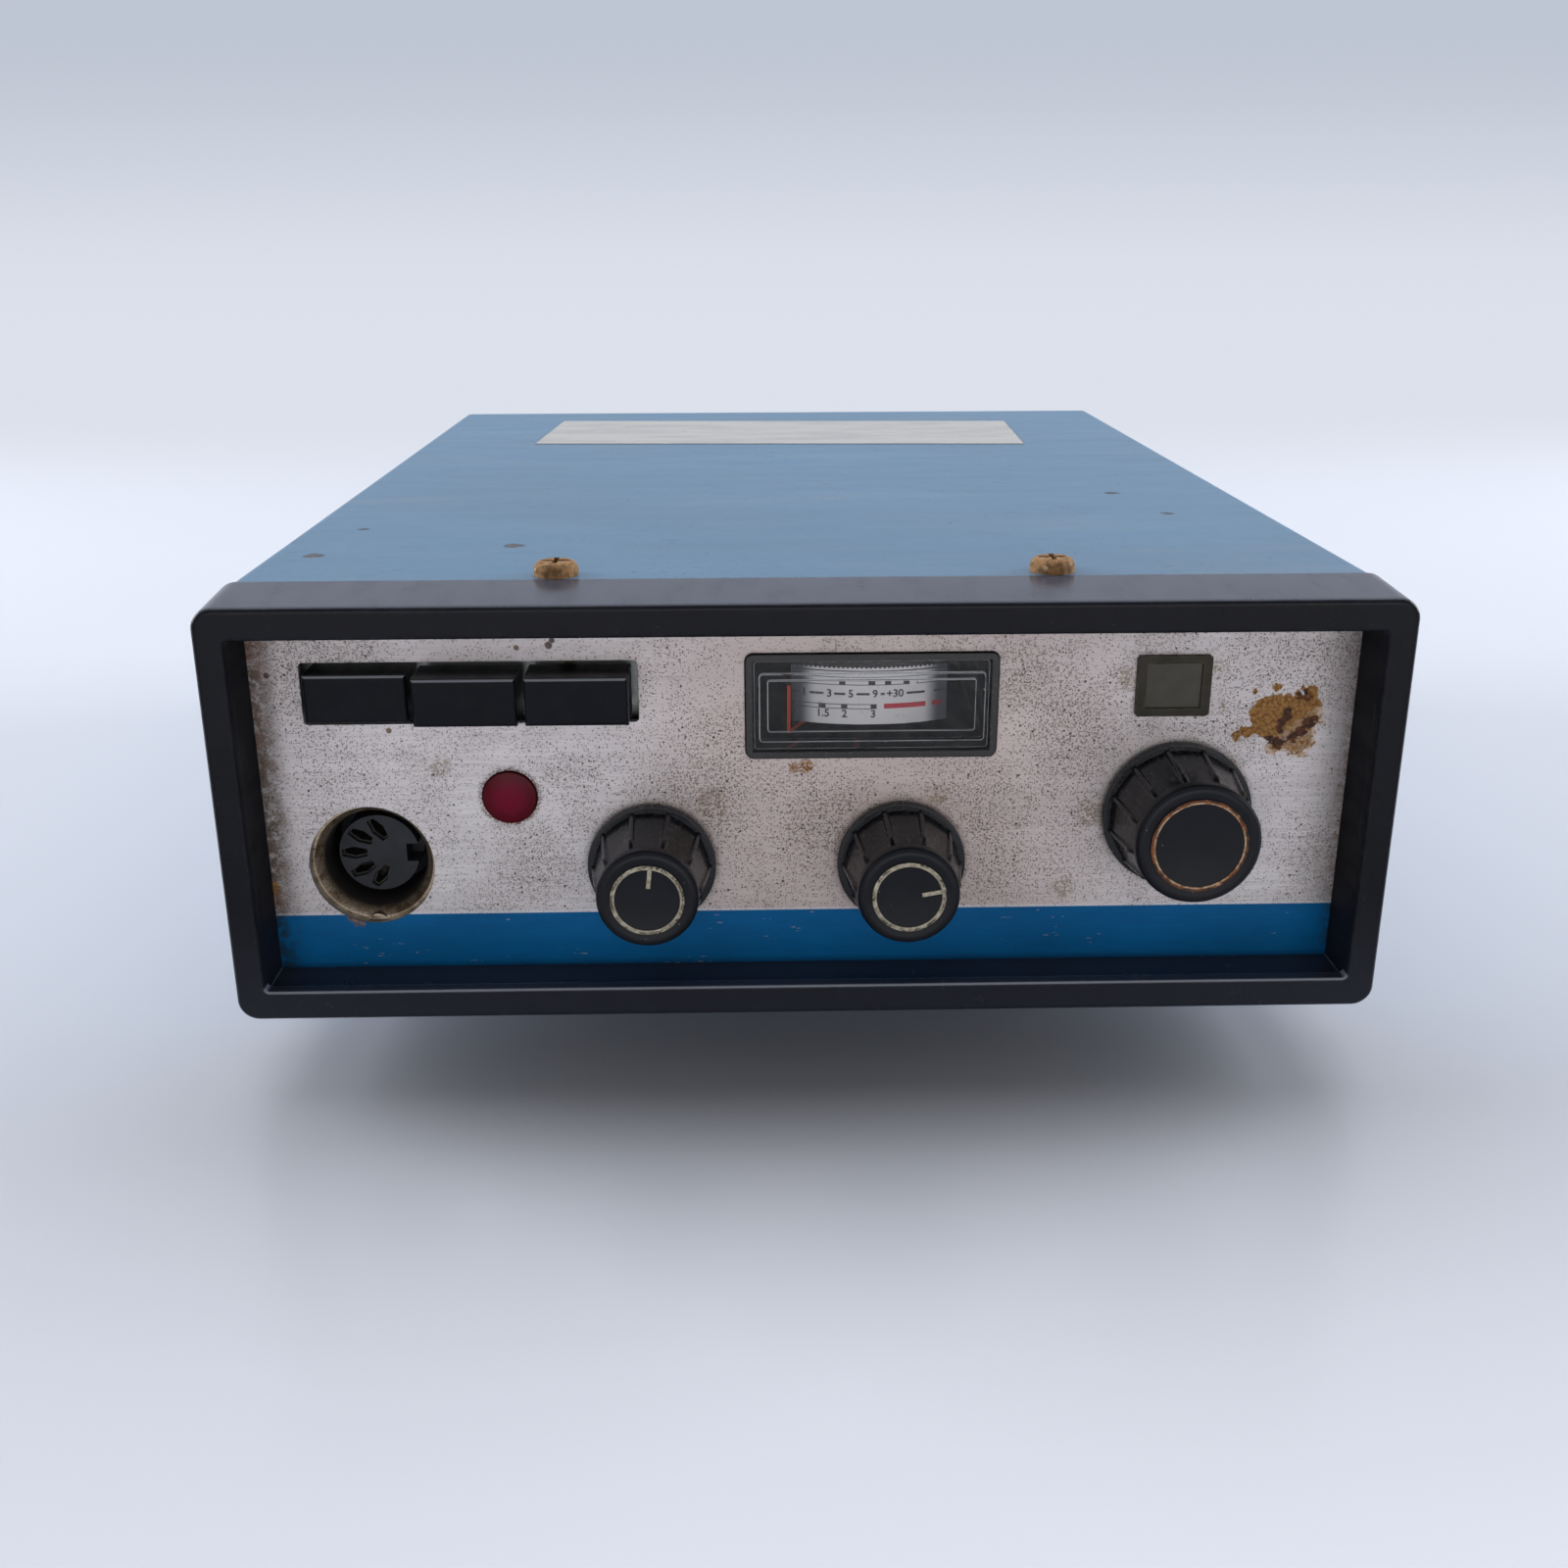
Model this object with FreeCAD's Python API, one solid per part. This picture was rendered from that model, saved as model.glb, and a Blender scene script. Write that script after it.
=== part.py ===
import FreeCAD, Part
import math
import os

# A mobile radio in a sheet steel case, with a moulded front frame and an aluminium control panel.
# Working frame: X to the right seen from the front, Y into the case from the frame's front face,
# Z up from the underside of the case. The last step moves every solid so that the origin lies on
# the surface that the feet stand on, below the middle of the whole object. Sizes in millimetres.

Vector = FreeCAD.Vector

# Clearances between pieces
running_gap = 0.05
slide_gap = 0.1
drop_in_gap = 0.15
moving_gap = 0.3

# How far a cutter runs past a face, how far joined shapes reach into each other,
# and how flat an edge must lie to count as lying in a plane
past = 1.0
root = 0.5
flat_tolerance = 0.0001

# Case shells, folded from painted sheet steel
case_width = 165.0
case_height = 60.9
case_depth = 223.8
cover_sheet = 1.0
cover_bend = 2.0
seam_gap = 0.3

# Chassis inside the shells
chassis_sheet = 1.2
chassis_gap = 0.2
rear_flange_width = 8.0
board_ledge_width = 8.0
board_ledge_start = 56.0
board_ledge_margin = 20.0
board_screw_margin = 10.0
board_height = 30.0

# Front frame
front_overhang = 0.1
rear_overhang = 1.6
frame_corner = 3.0
frame_edge_round = 0.7
rim_width = 4.05
rim_height = 4.5
rim_depth = 2.0
recess_side_wall = 3.8
recess_end_wall = 3.65
recess_depth = 9.9
rebate_side_wall = 1.7
tongue_thickness = 1.2
tongue_width = 11.0
tongue_length = 8.5
tongue_seat_width = 22.0
inner_rim_round = 0.4
rim_corner = 0.8

# Aluminium panel
panel_thickness = 1.2
panel_corner = 1.5
panel_stud_radius = 2.0
panel_stud_inset = 5.0
panel_hole_gap = 1.0

# Rotary controls: bushings, nuts and shafts that all three share
shaft_radius = 3.0
bushing_radius = 4.75
bushing_proud = 0.4
nut_thickness = 2.0
nut_across_flats = 13.0
nut_corner_cut = 0.35
knob_reach = 13.9
knob_gap = 0.5
flange_thickness = 1.1
cap_length = 2.4
cap_edge_round = 0.9
rib_width = 1.0
rib_step = 0.55
rib_height = 0.35
knob_socket_depth = 9.5
inlay_depth = 0.5
inlay_proud = 0.1
inlay_width = 0.6

# Volume and squelch knobs
small_flange_radius = 9.4
small_cap_radius = 7.2
small_rib_count = 10
small_ring_radius = 5.2
pointer_length = 3.4
small_knob_drop = 10.55
volume_from_left = 59.7
volume_pointer_angle = 6.0
squelch_from_channel = 40.2
squelch_pointer_angle = 80.0
pot_radius = 10.0
pot_depth = 9.0
pot_bore_depth = 5.4
pot_switch_radius = 8.0
pot_switch_depth = 8.0
lug_width = 2.0
lug_thickness = 0.6
lug_length = 4.0
lug_pitch = 5.0

# Channel selector
large_flange_radius = 10.9
large_cap_radius = 8.8
large_rib_count = 12
large_ring_radius = 6.8
channel_from_right = 28.5
channel_drop = 3.35
number_radius = 19.25
dial_rim = 2.4
dial_thickness = 1.0
dial_gap = 0.5
dial_hub_radius = 5.5
dial_hub_step = 0.3
channel_turn = 2.0
detent_radius = 15.0
detent_depth = 5.0
wafer_radius = 16.0
wafer_thickness = 1.6
wafer_pitch = 7.0
wafer_count = 2
wafer_rod_radius = 1.2
wafer_rod_offset = 11.5
wafer_rod_end = 2.0
blade_radius = 2.0
blade_gap = 0.4

# Channel window
window_width = 10.7
window_height = 9.0
window_side_wall = 1.35
window_end_wall = 1.2
window_corner = 0.6
window_proud = 0.6
window_lap = 0.7
window_offset = -1.75
pane_thickness = 1.0
pane_inset = 0.35

# Push keys
key_count = 3
key_pitch_share = 0.094
key_gap = 1.1
key_height = 6.9
key_edge_round = 0.5
key_slot_gap = 1.1
key_slot_corner = 0.6
key_slot_margin = 7.05
key_rise = 15.75
key_out = 5.5
key_travel = 3.1
key_latch_depth = 2.5
stem_width = 5.0
stem_height = 2.6
stem_length = 18.0
switch_width = 10.0
switch_height = 9.0
switch_depth = 27.0
switch_pin_length = 3.0
switch_pin_radius = 0.5
bracket_thickness = 1.0
bracket_margin = 1.8

# Meter
meter_width = 36.0
meter_height = 15.4
meter_corner = 1.1
meter_from_channel = 44.8
meter_rise = 13.3
meter_proud = 0.6
meter_step = 0.6
meter_step_side = 1.95
meter_step_end = 2.7
meter_wall = 1.2
meter_window_depth = 6.0
meter_case_depth = 31.0
scale_radius = 26.5
scale_setback = 2.6
scale_half_angle = 25.4
scale_height = 10.1
scale_thickness = 0.8
pointer_gap = 0.6
pointer_thickness = 0.4
pointer_rise = 7.1
pointer_rest_angle = -25.4
pointer_hub_radius = 2.0
staff_radius = 0.5
yoke_width = 16.0
yoke_depth = 9.0
yoke_bridge = 1.6
yoke_foot = 0.8
hub_height = 3.0

# Alarm lamp
lens_radius = 3.9
lens_from_left = 39.4
lens_proud = 0.9
lens_dome = 0.5
lens_length = 6.0
lamp_wall = 1.1
lamp_depth = 18.0
lamp_cap = 1.5

# Microphone socket, of the round five-pole kind
socket_from_left = 18.64
socket_drop = 10.45
socket_hole_gap = 0.45
socket_shell_radius = 8.7
socket_throat_radius = 7.35
socket_mouth_depth = 3.4
socket_flange_radius = 10.6
socket_length = 14.2
insert_radius = 5.97
insert_setback = 5.1
insert_base = 3.0
socket_flange_thickness = 1.0
socket_nib_radius = 1.7
socket_nib_drop = 9.8
socket_nib_proud = 0.4
pin_circle_radius = 3.7
pin_slot_length = 3.8
pin_slot_width = 2.0
pin_slot_end_width = 1.1
pin_slot_focus = 2.65
pin_slot_depth = 4.0
pin_count = 5
pin_spread = 45.0
contact_setback = 0.8
contact_wall = 0.25
socket_key_width = 2.8
socket_key_depth = 1.9

# Fasteners
domed_head_radius = 3.25
domed_head_height = 2.1
domed_head_round = 1.3
domed_shank_radius = 1.75
domed_shank_length = 6.0
front_screw_x = 36.0
front_screw_setback = 3.25
screw_hole_gap = 0.2
pan_head_radius = 2.7
pan_head_height = 1.6
pan_shank_radius = 1.5
pan_shank_length = 5.0
cross_width = 0.8
cross_depth = 0.8
cross_share = 0.62
side_screw_front = 43.0
side_screw_rear = 175.0
side_screw_rise = 7.0

# Side inserts for a carrying bracket
bracket_insert_y = 98.0
bracket_insert_rise = 10.0
bracket_thread_radius = 2.1
bracket_insert_radius = 3.3
bracket_insert_flat = 9.0
bracket_insert_depth = 5.0
bracket_insert_inset = 0.2

# Feet
foot_height = 10.5
foot_top_radius = 8.0
foot_base_radius = 6.5
foot_from_side = 20.5
foot_front = 45.0
foot_rear_margin = 24.0
foot_sink_radius = 3.6
foot_sink_depth = 6.0

# Paper label, bare
label_width = 111.0
label_length = 43.0
label_thickness = 0.15
label_from_rear = 41.8
label_turn = -2.7

# Speaker under the bottom shell
speaker_y = 118.0
speaker_radius = 33.0
speaker_flange = 1.2
speaker_opening = 28.0
basket_height = 12.0
basket_neck_radius = 13.0
magnet_radius = 16.0
magnet_height = 8.0
cone_thickness = 0.6
cone_edge_gap = 0.05
cone_edge_width = 3.0
cone_neck_radius = 9.0
cone_rise_gap = 2.0
cone_cap_sink = 3.0
slot_count = 9
slot_pitch = 5.6
slot_width = 2.6
slot_field_radius = 27.0

# Main board and what stands on it
board_thickness = 1.6
board_side_gap = 2.0
screw_end = 1.0
board_end_gap = 2.0
crystal_width = 10.0
crystal_depth = 4.4
crystal_height = 12.0
crystal_corner = 1.8
crystal_count = 8
crystal_pitch = 13.0
crystal_row = 8.0
coil_width = 10.0
coil_height = 13.0
coil_count = 6
coil_pitch = 18.0
coil_row = 32.0
coil_hole_radius = 2.0
coil_hole_depth = 3.0
capacitor_radius = 6.0
capacitor_height = 20.0
capacitor_count = 4
capacitor_pitch = 20.0
capacitor_row = 95.0

# Rear panel and what it carries
rear_inset = 1.0
rear_panel_thickness = 1.5
rear_panel_gap = 0.15
rear_screw_side = 5.2
rear_screw_height = 6.5
heat_sink_side_gap = 4.0
heat_sink_height = 46.0
heat_sink_base = 3.5
heat_sink_depth = 16.0
fin_count = 13
fin_thickness = 1.6
transistor_width = 10.2
transistor_height = 15.5
transistor_depth = 4.6
transistor_spacing = 34.0
antenna_from_right = 22.5
antenna_height = 32.0
antenna_flange = 25.4
antenna_flange_thickness = 1.8
antenna_flange_corner = 1.5
antenna_insulator_setback = 2.5
antenna_barrel_radius = 7.9
antenna_barrel_length = 11.5
antenna_barrel_wall = 1.6
antenna_tail_length = 4.0
antenna_hole_spacing = 18.2
antenna_screw_length = 7.0
antenna_contact_radius = 2.8
antenna_contact_bore = 2.0
antenna_contact_setback = 1.5
antenna_contact_bore_depth = 8.0
antenna_tag_length = 6.0
inlet_from_left = 24.5
inlet_height = 20.0
inlet_flange_width = 27.0
inlet_flange_height = 16.0
inlet_flange_thickness = 1.6
inlet_flange_corner = 2.0
inlet_floor = 3.0
inlet_body_width = 22.0
inlet_body_height = 12.0
inlet_body_depth = 14.0
inlet_wall = 1.2
inlet_pin_radius = 1.2
inlet_pin_spacing = 12.4
inlet_pin_setback = 2.0
inlet_tag_length = 4.0
jack_height = 43.0
jack_bore_radius = 1.8
jack_bush_radius = 3.0
jack_bush_proud = 3.4
jack_nut_radius = 4.5
jack_nut_thickness = 1.8
jack_body_width = 9.0
jack_body_depth = 13.0
jack_floor = 2.0

# Places that follow from the sizes above
half_width = case_width / 2
mid_height = case_height / 2
seam_height = mid_height
panel_rear = recess_depth + panel_thickness
panel_space = dial_gap + dial_thickness + dial_hub_step + moving_gap + bushing_proud + nut_thickness
bulkhead_front = panel_rear + panel_space
frame_depth = bulkhead_front + chassis_sheet
frame_front_width = case_width + 2 * front_overhang
frame_rear_width = case_width + 2 * rear_overhang
rebate_height = case_height - 2 * (cover_sheet + tongue_thickness)
chassis_half_width = half_width - cover_sheet - chassis_gap
chassis_inner = chassis_half_width - chassis_sheet
panel_half_width = half_width - rebate_side_wall - drop_in_gap
rear_panel_back = case_depth - rear_inset
rear_panel_front = rear_panel_back - rear_panel_thickness
small_knob_height = mid_height - small_knob_drop
channel_x = half_width - channel_from_right
volume_x = -half_width + volume_from_left
squelch_x = channel_x - squelch_from_channel
meter_x = channel_x - meter_from_channel
channel_height = mid_height - channel_drop
window_x = channel_x + window_offset
window_z = channel_height + number_radius
dial_radius = number_radius + dial_rim
key_z = mid_height + key_rise
key_pitch = key_pitch_share * case_width
key_width = key_pitch - key_gap
key_slot_width = (key_count - 1) * key_pitch + key_width + 2 * key_slot_gap
key_slot_height = key_height + 2 * key_slot_gap
key_slot_x = -half_width + recess_side_wall + key_slot_margin + key_slot_width / 2
meter_z = mid_height + meter_rise
lens_x = -half_width + lens_from_left
lens_z = mid_height
socket_x = -half_width + socket_from_left
socket_z = mid_height - socket_drop
socket_hole_radius = socket_shell_radius + socket_hole_gap
front_screw_y = frame_depth + front_screw_setback
foot_x = half_width - foot_from_side
bracket_insert_z = seam_height + bracket_insert_rise
domed_hole_radius = domed_shank_radius + screw_hole_gap
pan_hole_radius = pan_shank_radius + screw_hole_gap
antenna_x = half_width - antenna_from_right
inlet_x = -half_width + inlet_from_left
heat_sink_left = inlet_x + inlet_flange_width / 2 + heat_sink_side_gap
heat_sink_right = antenna_x - antenna_flange / 2 - heat_sink_side_gap
front_reach = knob_reach - recess_depth + inlay_proud
rear_reach = heat_sink_depth - rear_inset
antenna_reach = antenna_flange_thickness + antenna_barrel_length - rear_inset
rear_most = case_depth + max(rear_reach, antenna_reach)
origin_y = (rear_most - front_reach) / 2


def block(x_low, x_high, y_low, y_high, z_low, z_high):
    """Box between two corners."""
    corner = Vector(x_low, y_low, z_low)
    return Part.makeBox(x_high - x_low, y_high - y_low, z_high - z_low, corner)


def rod_x(y, z, x_low, x_high, radius):
    """Round bar along X."""
    return Part.makeCylinder(radius, x_high - x_low, Vector(x_low, y, z), Vector(1, 0, 0))


def rod_y(x, z, y_low, y_high, radius):
    """Round bar along Y."""
    return Part.makeCylinder(radius, y_high - y_low, Vector(x, y_low, z), Vector(0, 1, 0))


def rod_z(x, y, z_low, z_high, radius):
    """Round bar along Z."""
    return Part.makeCylinder(radius, z_high - z_low, Vector(x, y, z_low), Vector(0, 0, 1))


def turned_z(x, y, profile):
    """Solid turned about a line along Z; the profile lists (radius, z) points in order."""
    points = [Vector(x + radius, y, z) for radius, z in profile]
    points.append(points[0])
    face = Part.Face(Part.makePolygon(points))
    return face.revolve(Vector(x, y, 0), Vector(0, 0, 1), 360)


def rounded_outline(x, z, width, height, corner, y):
    """Closed wire of a rectangle with round corners, in the plane at depth y."""
    x_low, x_high = x - width / 2, x + width / 2
    z_low, z_high = z - height / 2, z + height / 2
    bow = corner * (1 - math.sqrt(0.5))
    points = [
        Vector(x_low + corner, y, z_low), Vector(x_high - corner, y, z_low),
        Vector(x_high, y, z_low + corner), Vector(x_high, y, z_high - corner),
        Vector(x_high - corner, y, z_high), Vector(x_low + corner, y, z_high),
        Vector(x_low, y, z_high - corner), Vector(x_low, y, z_low + corner),
    ]
    middles = [
        Vector(x_high - bow, y, z_low + bow), Vector(x_high - bow, y, z_high - bow),
        Vector(x_low + bow, y, z_high - bow), Vector(x_low + bow, y, z_low + bow),
    ]
    edges = []
    for side in range(4):
        start, end = points[2 * side], points[2 * side + 1]
        after = points[(2 * side + 2) % 8]
        edges.append(Part.LineSegment(start, end).toShape())
        edges.append(Part.Arc(end, middles[side], after).toShape())
    return Part.Wire(edges)


def rounded_plate(x, z, width, height, corner, y_low, y_high):
    """Plate with round corners that stands across Y."""
    face = Part.Face(rounded_outline(x, z, width, height, corner, y_low))
    return face.extrude(Vector(0, y_high - y_low, 0))


def polygon_outline(x, z, apothem, sides, y):
    """Closed wire of a regular polygon across Y, given the distance from its middle to a side."""
    radius = apothem / math.cos(math.pi / sides)
    points = []
    for index in range(sides + 1):
        angle = 2 * math.pi * index / sides
        points.append(Vector(x + radius * math.sin(angle), y, z + radius * math.cos(angle)))
    return Part.makePolygon(points)


def about_y(shape, x, z, angle):
    """Copy of the shape turned about a line along Y, clockwise seen from the front."""
    copy = shape.copy()
    copy.rotate(Vector(x, 0, z), Vector(0, 1, 0), angle)
    return copy


def about_z(shape, x, y, angle):
    """Copy of the shape turned about a line along Z."""
    copy = shape.copy()
    copy.rotate(Vector(x, y, 0), Vector(0, 0, 1), angle)
    return copy


def joined(shapes):
    """One solid made of shapes that meet."""
    return shapes[0].multiFuse(shapes[1:]).removeSplitter()


def without(shape, cutters):
    """The shape with every cutter taken out of it."""
    return shape.cut(Part.makeCompound(cutters))


def edges_at_depth(shape, y):
    """Edges of the shape that lie in the plane at depth y."""
    chosen = []
    for edge in shape.Edges:
        box = edge.BoundBox
        if abs(box.YMin - y) < flat_tolerance and abs(box.YMax - y) < flat_tolerance:
            chosen.append(edge)
    return chosen


def mirrored(shape):
    """Copy of the shape on the other side of the middle plane."""
    return shape.mirror(Vector(0, 0, 0), Vector(1, 0, 0))


def keep(name, shapes):
    """Writes one named node, moved from the working frame to the part's own frame."""
    solid = Part.makeCompound(shapes) if isinstance(shapes, list) else shapes
    if not solid.isValid():
        print("invalid shape", name)
    moved = solid.translated(Vector(0, -origin_y, foot_height))
    moved.exportStep(os.path.join("parts", name + ".step"))
    print(name, len(moved.Solids), round(moved.Volume, 1))


def cross_recess(radius, top):
    """Cutter for a cross-shaped driver recess in a head whose top is at that height, along Z."""
    arm = radius * cross_share
    low = top - cross_depth
    half = cross_width / 2
    high = top + past
    return [block(-arm, arm, -half, half, low, high), block(-half, half, -arm, arm, low, high)]


def screw_head(radius, height, edge_round):
    """Round head with a rounded top edge and a cross recess, standing on the plane z = 0."""
    head = rod_z(0, 0, 0, height, radius)
    top = [edge for edge in head.Edges if abs(edge.BoundBox.ZMin - height) < flat_tolerance]
    head = head.makeFillet(edge_round, top)
    return without(head, cross_recess(radius, height))


def domed_screw():
    """High-headed screw standing on the plane z = 0 with its shank below it."""
    head = screw_head(domed_head_radius, domed_head_height, domed_head_round)
    return joined([head, rod_z(0, 0, -domed_shank_length, 0, domed_shank_radius)])


def pan_screw(shank_length):
    """Pan-head screw standing on the plane z = 0 with its shank below it."""
    head = screw_head(pan_head_radius, pan_head_height, pan_head_height / 2)
    return joined([head, rod_z(0, 0, -shank_length, 0, pan_shank_radius)])


def placed(shape, x, y, z, axis=Vector(0, 0, 1)):
    """Copy of a shape modelled along Z, moved to a point and pointed along an axis."""
    copy = shape.copy()
    copy.Placement = FreeCAD.Placement(Vector(x, y, z), FreeCAD.Rotation(Vector(0, 0, 1), axis))
    return copy


def make_front_frame():
    """Moulded frame: flared outside, stepped recess, rebate for the panel and four tongues."""
    front = rounded_outline(0, mid_height, frame_front_width, case_height, frame_corner, 0)
    rear = rounded_outline(0, mid_height, frame_rear_width, case_height, frame_corner, frame_depth)
    body = Part.makeLoft([front, rear], True, True)
    body = body.makeFillet(frame_edge_round, edges_at_depth(body, 0))
    opening = rounded_plate(0, mid_height, frame_front_width - 2 * rim_width,
                            case_height - 2 * rim_height, rim_corner, -past, rim_depth)
    recess = block(-half_width + recess_side_wall, half_width - recess_side_wall,
                   rim_depth, recess_depth, recess_end_wall, case_height - recess_end_wall)
    rebate = block(-half_width + rebate_side_wall, half_width - rebate_side_wall,
                   recess_depth, frame_depth + past,
                   mid_height - rebate_height / 2, mid_height + rebate_height / 2)
    body = without(body, [opening, recess, rebate])
    rim_limit = (frame_front_width - rim_width) / 2
    rim_edges = []
    for edge in edges_at_depth(body, 0):
        box = edge.BoundBox
        within_sides = max(abs(box.XMin), abs(box.XMax)) < rim_limit
        within_ends = box.ZMin > rim_height / 2 and box.ZMax < case_height - rim_height / 2
        if within_sides and within_ends:
            rim_edges.append(edge)
    body = body.makeFillet(inner_rim_round, rim_edges)
    pieces = [body]
    holes = []
    for x in (-front_screw_x, front_screw_x):
        for z_low in (cover_sheet, case_height - cover_sheet - tongue_thickness):
            pieces.append(block(x - tongue_width / 2, x + tongue_width / 2, panel_rear,
                                frame_depth + tongue_length, z_low, z_low + tongue_thickness))
        holes.append(rod_z(x, front_screw_y, -past, case_height + past, domed_hole_radius))
    keep("front_frame", without(joined(pieces), holes))


def panel_openings(y_low, y_high):
    """Cutters for everything that comes through the panel, except the channel window."""
    gap = drop_in_gap
    cutters = [
        rounded_plate(key_slot_x, key_z, key_slot_width, key_slot_height, key_slot_corner, y_low, y_high),
        rounded_plate(meter_x, meter_z, meter_width + 2 * gap, meter_height + 2 * gap,
                      meter_corner + gap, y_low, y_high),
        rod_y(lens_x, lens_z, y_low, y_high, lens_radius + gap),
        rod_y(socket_x, socket_z, y_low, y_high, socket_hole_radius),
    ]
    for x, z in control_places():
        cutters.append(rod_y(x, z, y_low, y_high, shaft_radius + panel_hole_gap))
    return cutters


def control_places():
    """Middles of the three rotary controls: volume, squelch and channel."""
    return [(volume_x, small_knob_height), (squelch_x, small_knob_height), (channel_x, channel_height)]


def make_front_panel():
    """Aluminium panel with its openings and four press studs on the back."""
    low = mid_height - rebate_height / 2 + drop_in_gap
    high = mid_height + rebate_height / 2 - drop_in_gap
    plate = rounded_plate(0, mid_height, 2 * panel_half_width, high - low, panel_corner,
                          recess_depth, panel_rear)
    cutters = panel_openings(recess_depth - past, panel_rear + past)
    inner_width = window_width - 2 * window_lap
    inner_height = window_height - 2 * window_lap
    cutters.append(block(window_x - inner_width / 2, window_x + inner_width / 2,
                         recess_depth - past, panel_rear + past,
                         window_z - inner_height / 2, window_z + inner_height / 2))
    studs = []
    for x in (-panel_half_width + panel_stud_inset, panel_half_width - panel_stud_inset):
        for z in (low + panel_stud_inset, high - panel_stud_inset):
            studs.append(rod_y(x, z, panel_rear, bulkhead_front, panel_stud_radius))
    keep("front_panel", joined([without(plate, cutters)] + studs))


def bulkhead_openings(y_low, y_high):
    """Cutters for everything that comes through the bulkhead."""
    gap = drop_in_gap
    cutters = [
        rounded_plate(meter_x, meter_z, meter_width + 2 * gap, meter_height + 2 * gap,
                      meter_corner + gap, y_low, y_high),
        rod_y(lens_x, lens_z, y_low, y_high, lens_radius + lamp_wall + gap),
        rod_y(socket_x, socket_z, y_low, y_high, socket_shell_radius + gap),
    ]
    for x, z in control_places():
        cutters.append(rod_y(x, z, y_low, y_high, bushing_radius + gap))
    for index in range(key_count):
        cutters.append(stem_passage(key_position(index), y_low, y_high, moving_gap))
    return cutters


def stem_passage(x, y_low, y_high, gap):
    """Block as large as a key's stem with a gap all round."""
    half_across = stem_width / 2 + gap
    half_up = stem_height / 2 + gap
    return block(x - half_across, x + half_across, y_low, y_high, key_z - half_up, key_z + half_up)


def make_chassis():
    """Folded chassis: front bulkhead, two side walls, rear flanges, board ledges and screw flanges."""
    low = mid_height - rebate_height / 2
    high = mid_height + rebate_height / 2
    rear = rear_panel_front
    pieces = [block(-panel_half_width, panel_half_width, bulkhead_front, frame_depth, low, high)]
    cutters = bulkhead_openings(bulkhead_front - past, frame_depth + past)
    for side in (-1, 1):
        outer, inner = side * chassis_half_width, side * chassis_inner
        wall = block(min(outer, inner), max(outer, inner), frame_depth, rear, low, high)
        ledge_edge = side * (chassis_inner - board_ledge_width)
        ledge = block(min(inner, ledge_edge), max(inner, ledge_edge), board_ledge_start,
                      rear - board_ledge_margin, board_height - chassis_sheet, board_height)
        flange_edge = side * (chassis_inner - rear_flange_width)
        flange = block(min(inner, flange_edge), max(inner, flange_edge),
                       rear - chassis_sheet, rear, low, high)
        pieces += [wall, ledge, flange]
        x = side * front_screw_x
        for z_low in (low, high - chassis_sheet):
            pieces.append(block(x - tongue_seat_width / 2, x + tongue_seat_width / 2, bulkhead_front,
                                frame_depth + tongue_length, z_low, z_low + chassis_sheet))
        cutters.append(rod_z(x, front_screw_y, -past, case_height + past, domed_shank_radius))
        for y in (side_screw_front, side_screw_rear):
            for z in (seam_height - side_screw_rise, seam_height + side_screw_rise):
                cutters.append(rod_x(y, z, min(outer, inner) - past, max(outer, inner) + past,
                                     pan_shank_radius))
        cutters.append(rod_x(bracket_insert_y, bracket_insert_z,
                             min(outer, inner) - past, max(outer, inner) + past, bracket_insert_radius))
        screw_x = side * (chassis_inner - rear_screw_side)
        for z in (rear_screw_height, case_height - rear_screw_height):
            cutters.append(rod_y(screw_x, z, rear - chassis_sheet - past, rear + past, pan_shank_radius))
        for y in board_screw_rows():
            cutters.append(rod_z(screw_x, y, board_height - chassis_sheet - past, board_height + past,
                                 pan_shank_radius))
    keep("chassis", without(joined(pieces), cutters))


def board_screw_rows():
    """Depths of the screws that hold the main board on its ledges."""
    first = board_ledge_start + board_screw_margin
    last = rear_panel_front - board_ledge_margin - board_screw_margin
    return [first, (first + last) / 2, last]


def long_edges_at(shape, z):
    """Edges of the shape that run along Y at height z."""
    chosen = []
    for edge in shape.Edges:
        box = edge.BoundBox
        if box.YLength > past and abs(box.ZMin - z) < flat_tolerance and abs(box.ZMax - z) < flat_tolerance:
            chosen.append(edge)
    return chosen


def folded_channel(edge_z, web_z):
    """Sheet channel along Y: a web at web_z with bent corners and two sides down or up to edge_z."""
    toward_edge = 1 if edge_z > web_z else -1
    inner_half = half_width - cover_sheet
    inner_web = web_z + toward_edge * cover_sheet
    inner_edge = edge_z + toward_edge * past
    outer = block(-half_width, half_width, frame_depth, case_depth, min(edge_z, web_z), max(edge_z, web_z))
    outer = outer.makeFillet(cover_bend, long_edges_at(outer, web_z))
    inner = block(-inner_half, inner_half, frame_depth - past, case_depth + past,
                  min(inner_edge, inner_web), max(inner_edge, inner_web))
    inner = inner.makeFillet(cover_bend - cover_sheet, long_edges_at(inner, inner_web))
    return outer.cut(inner)


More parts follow.
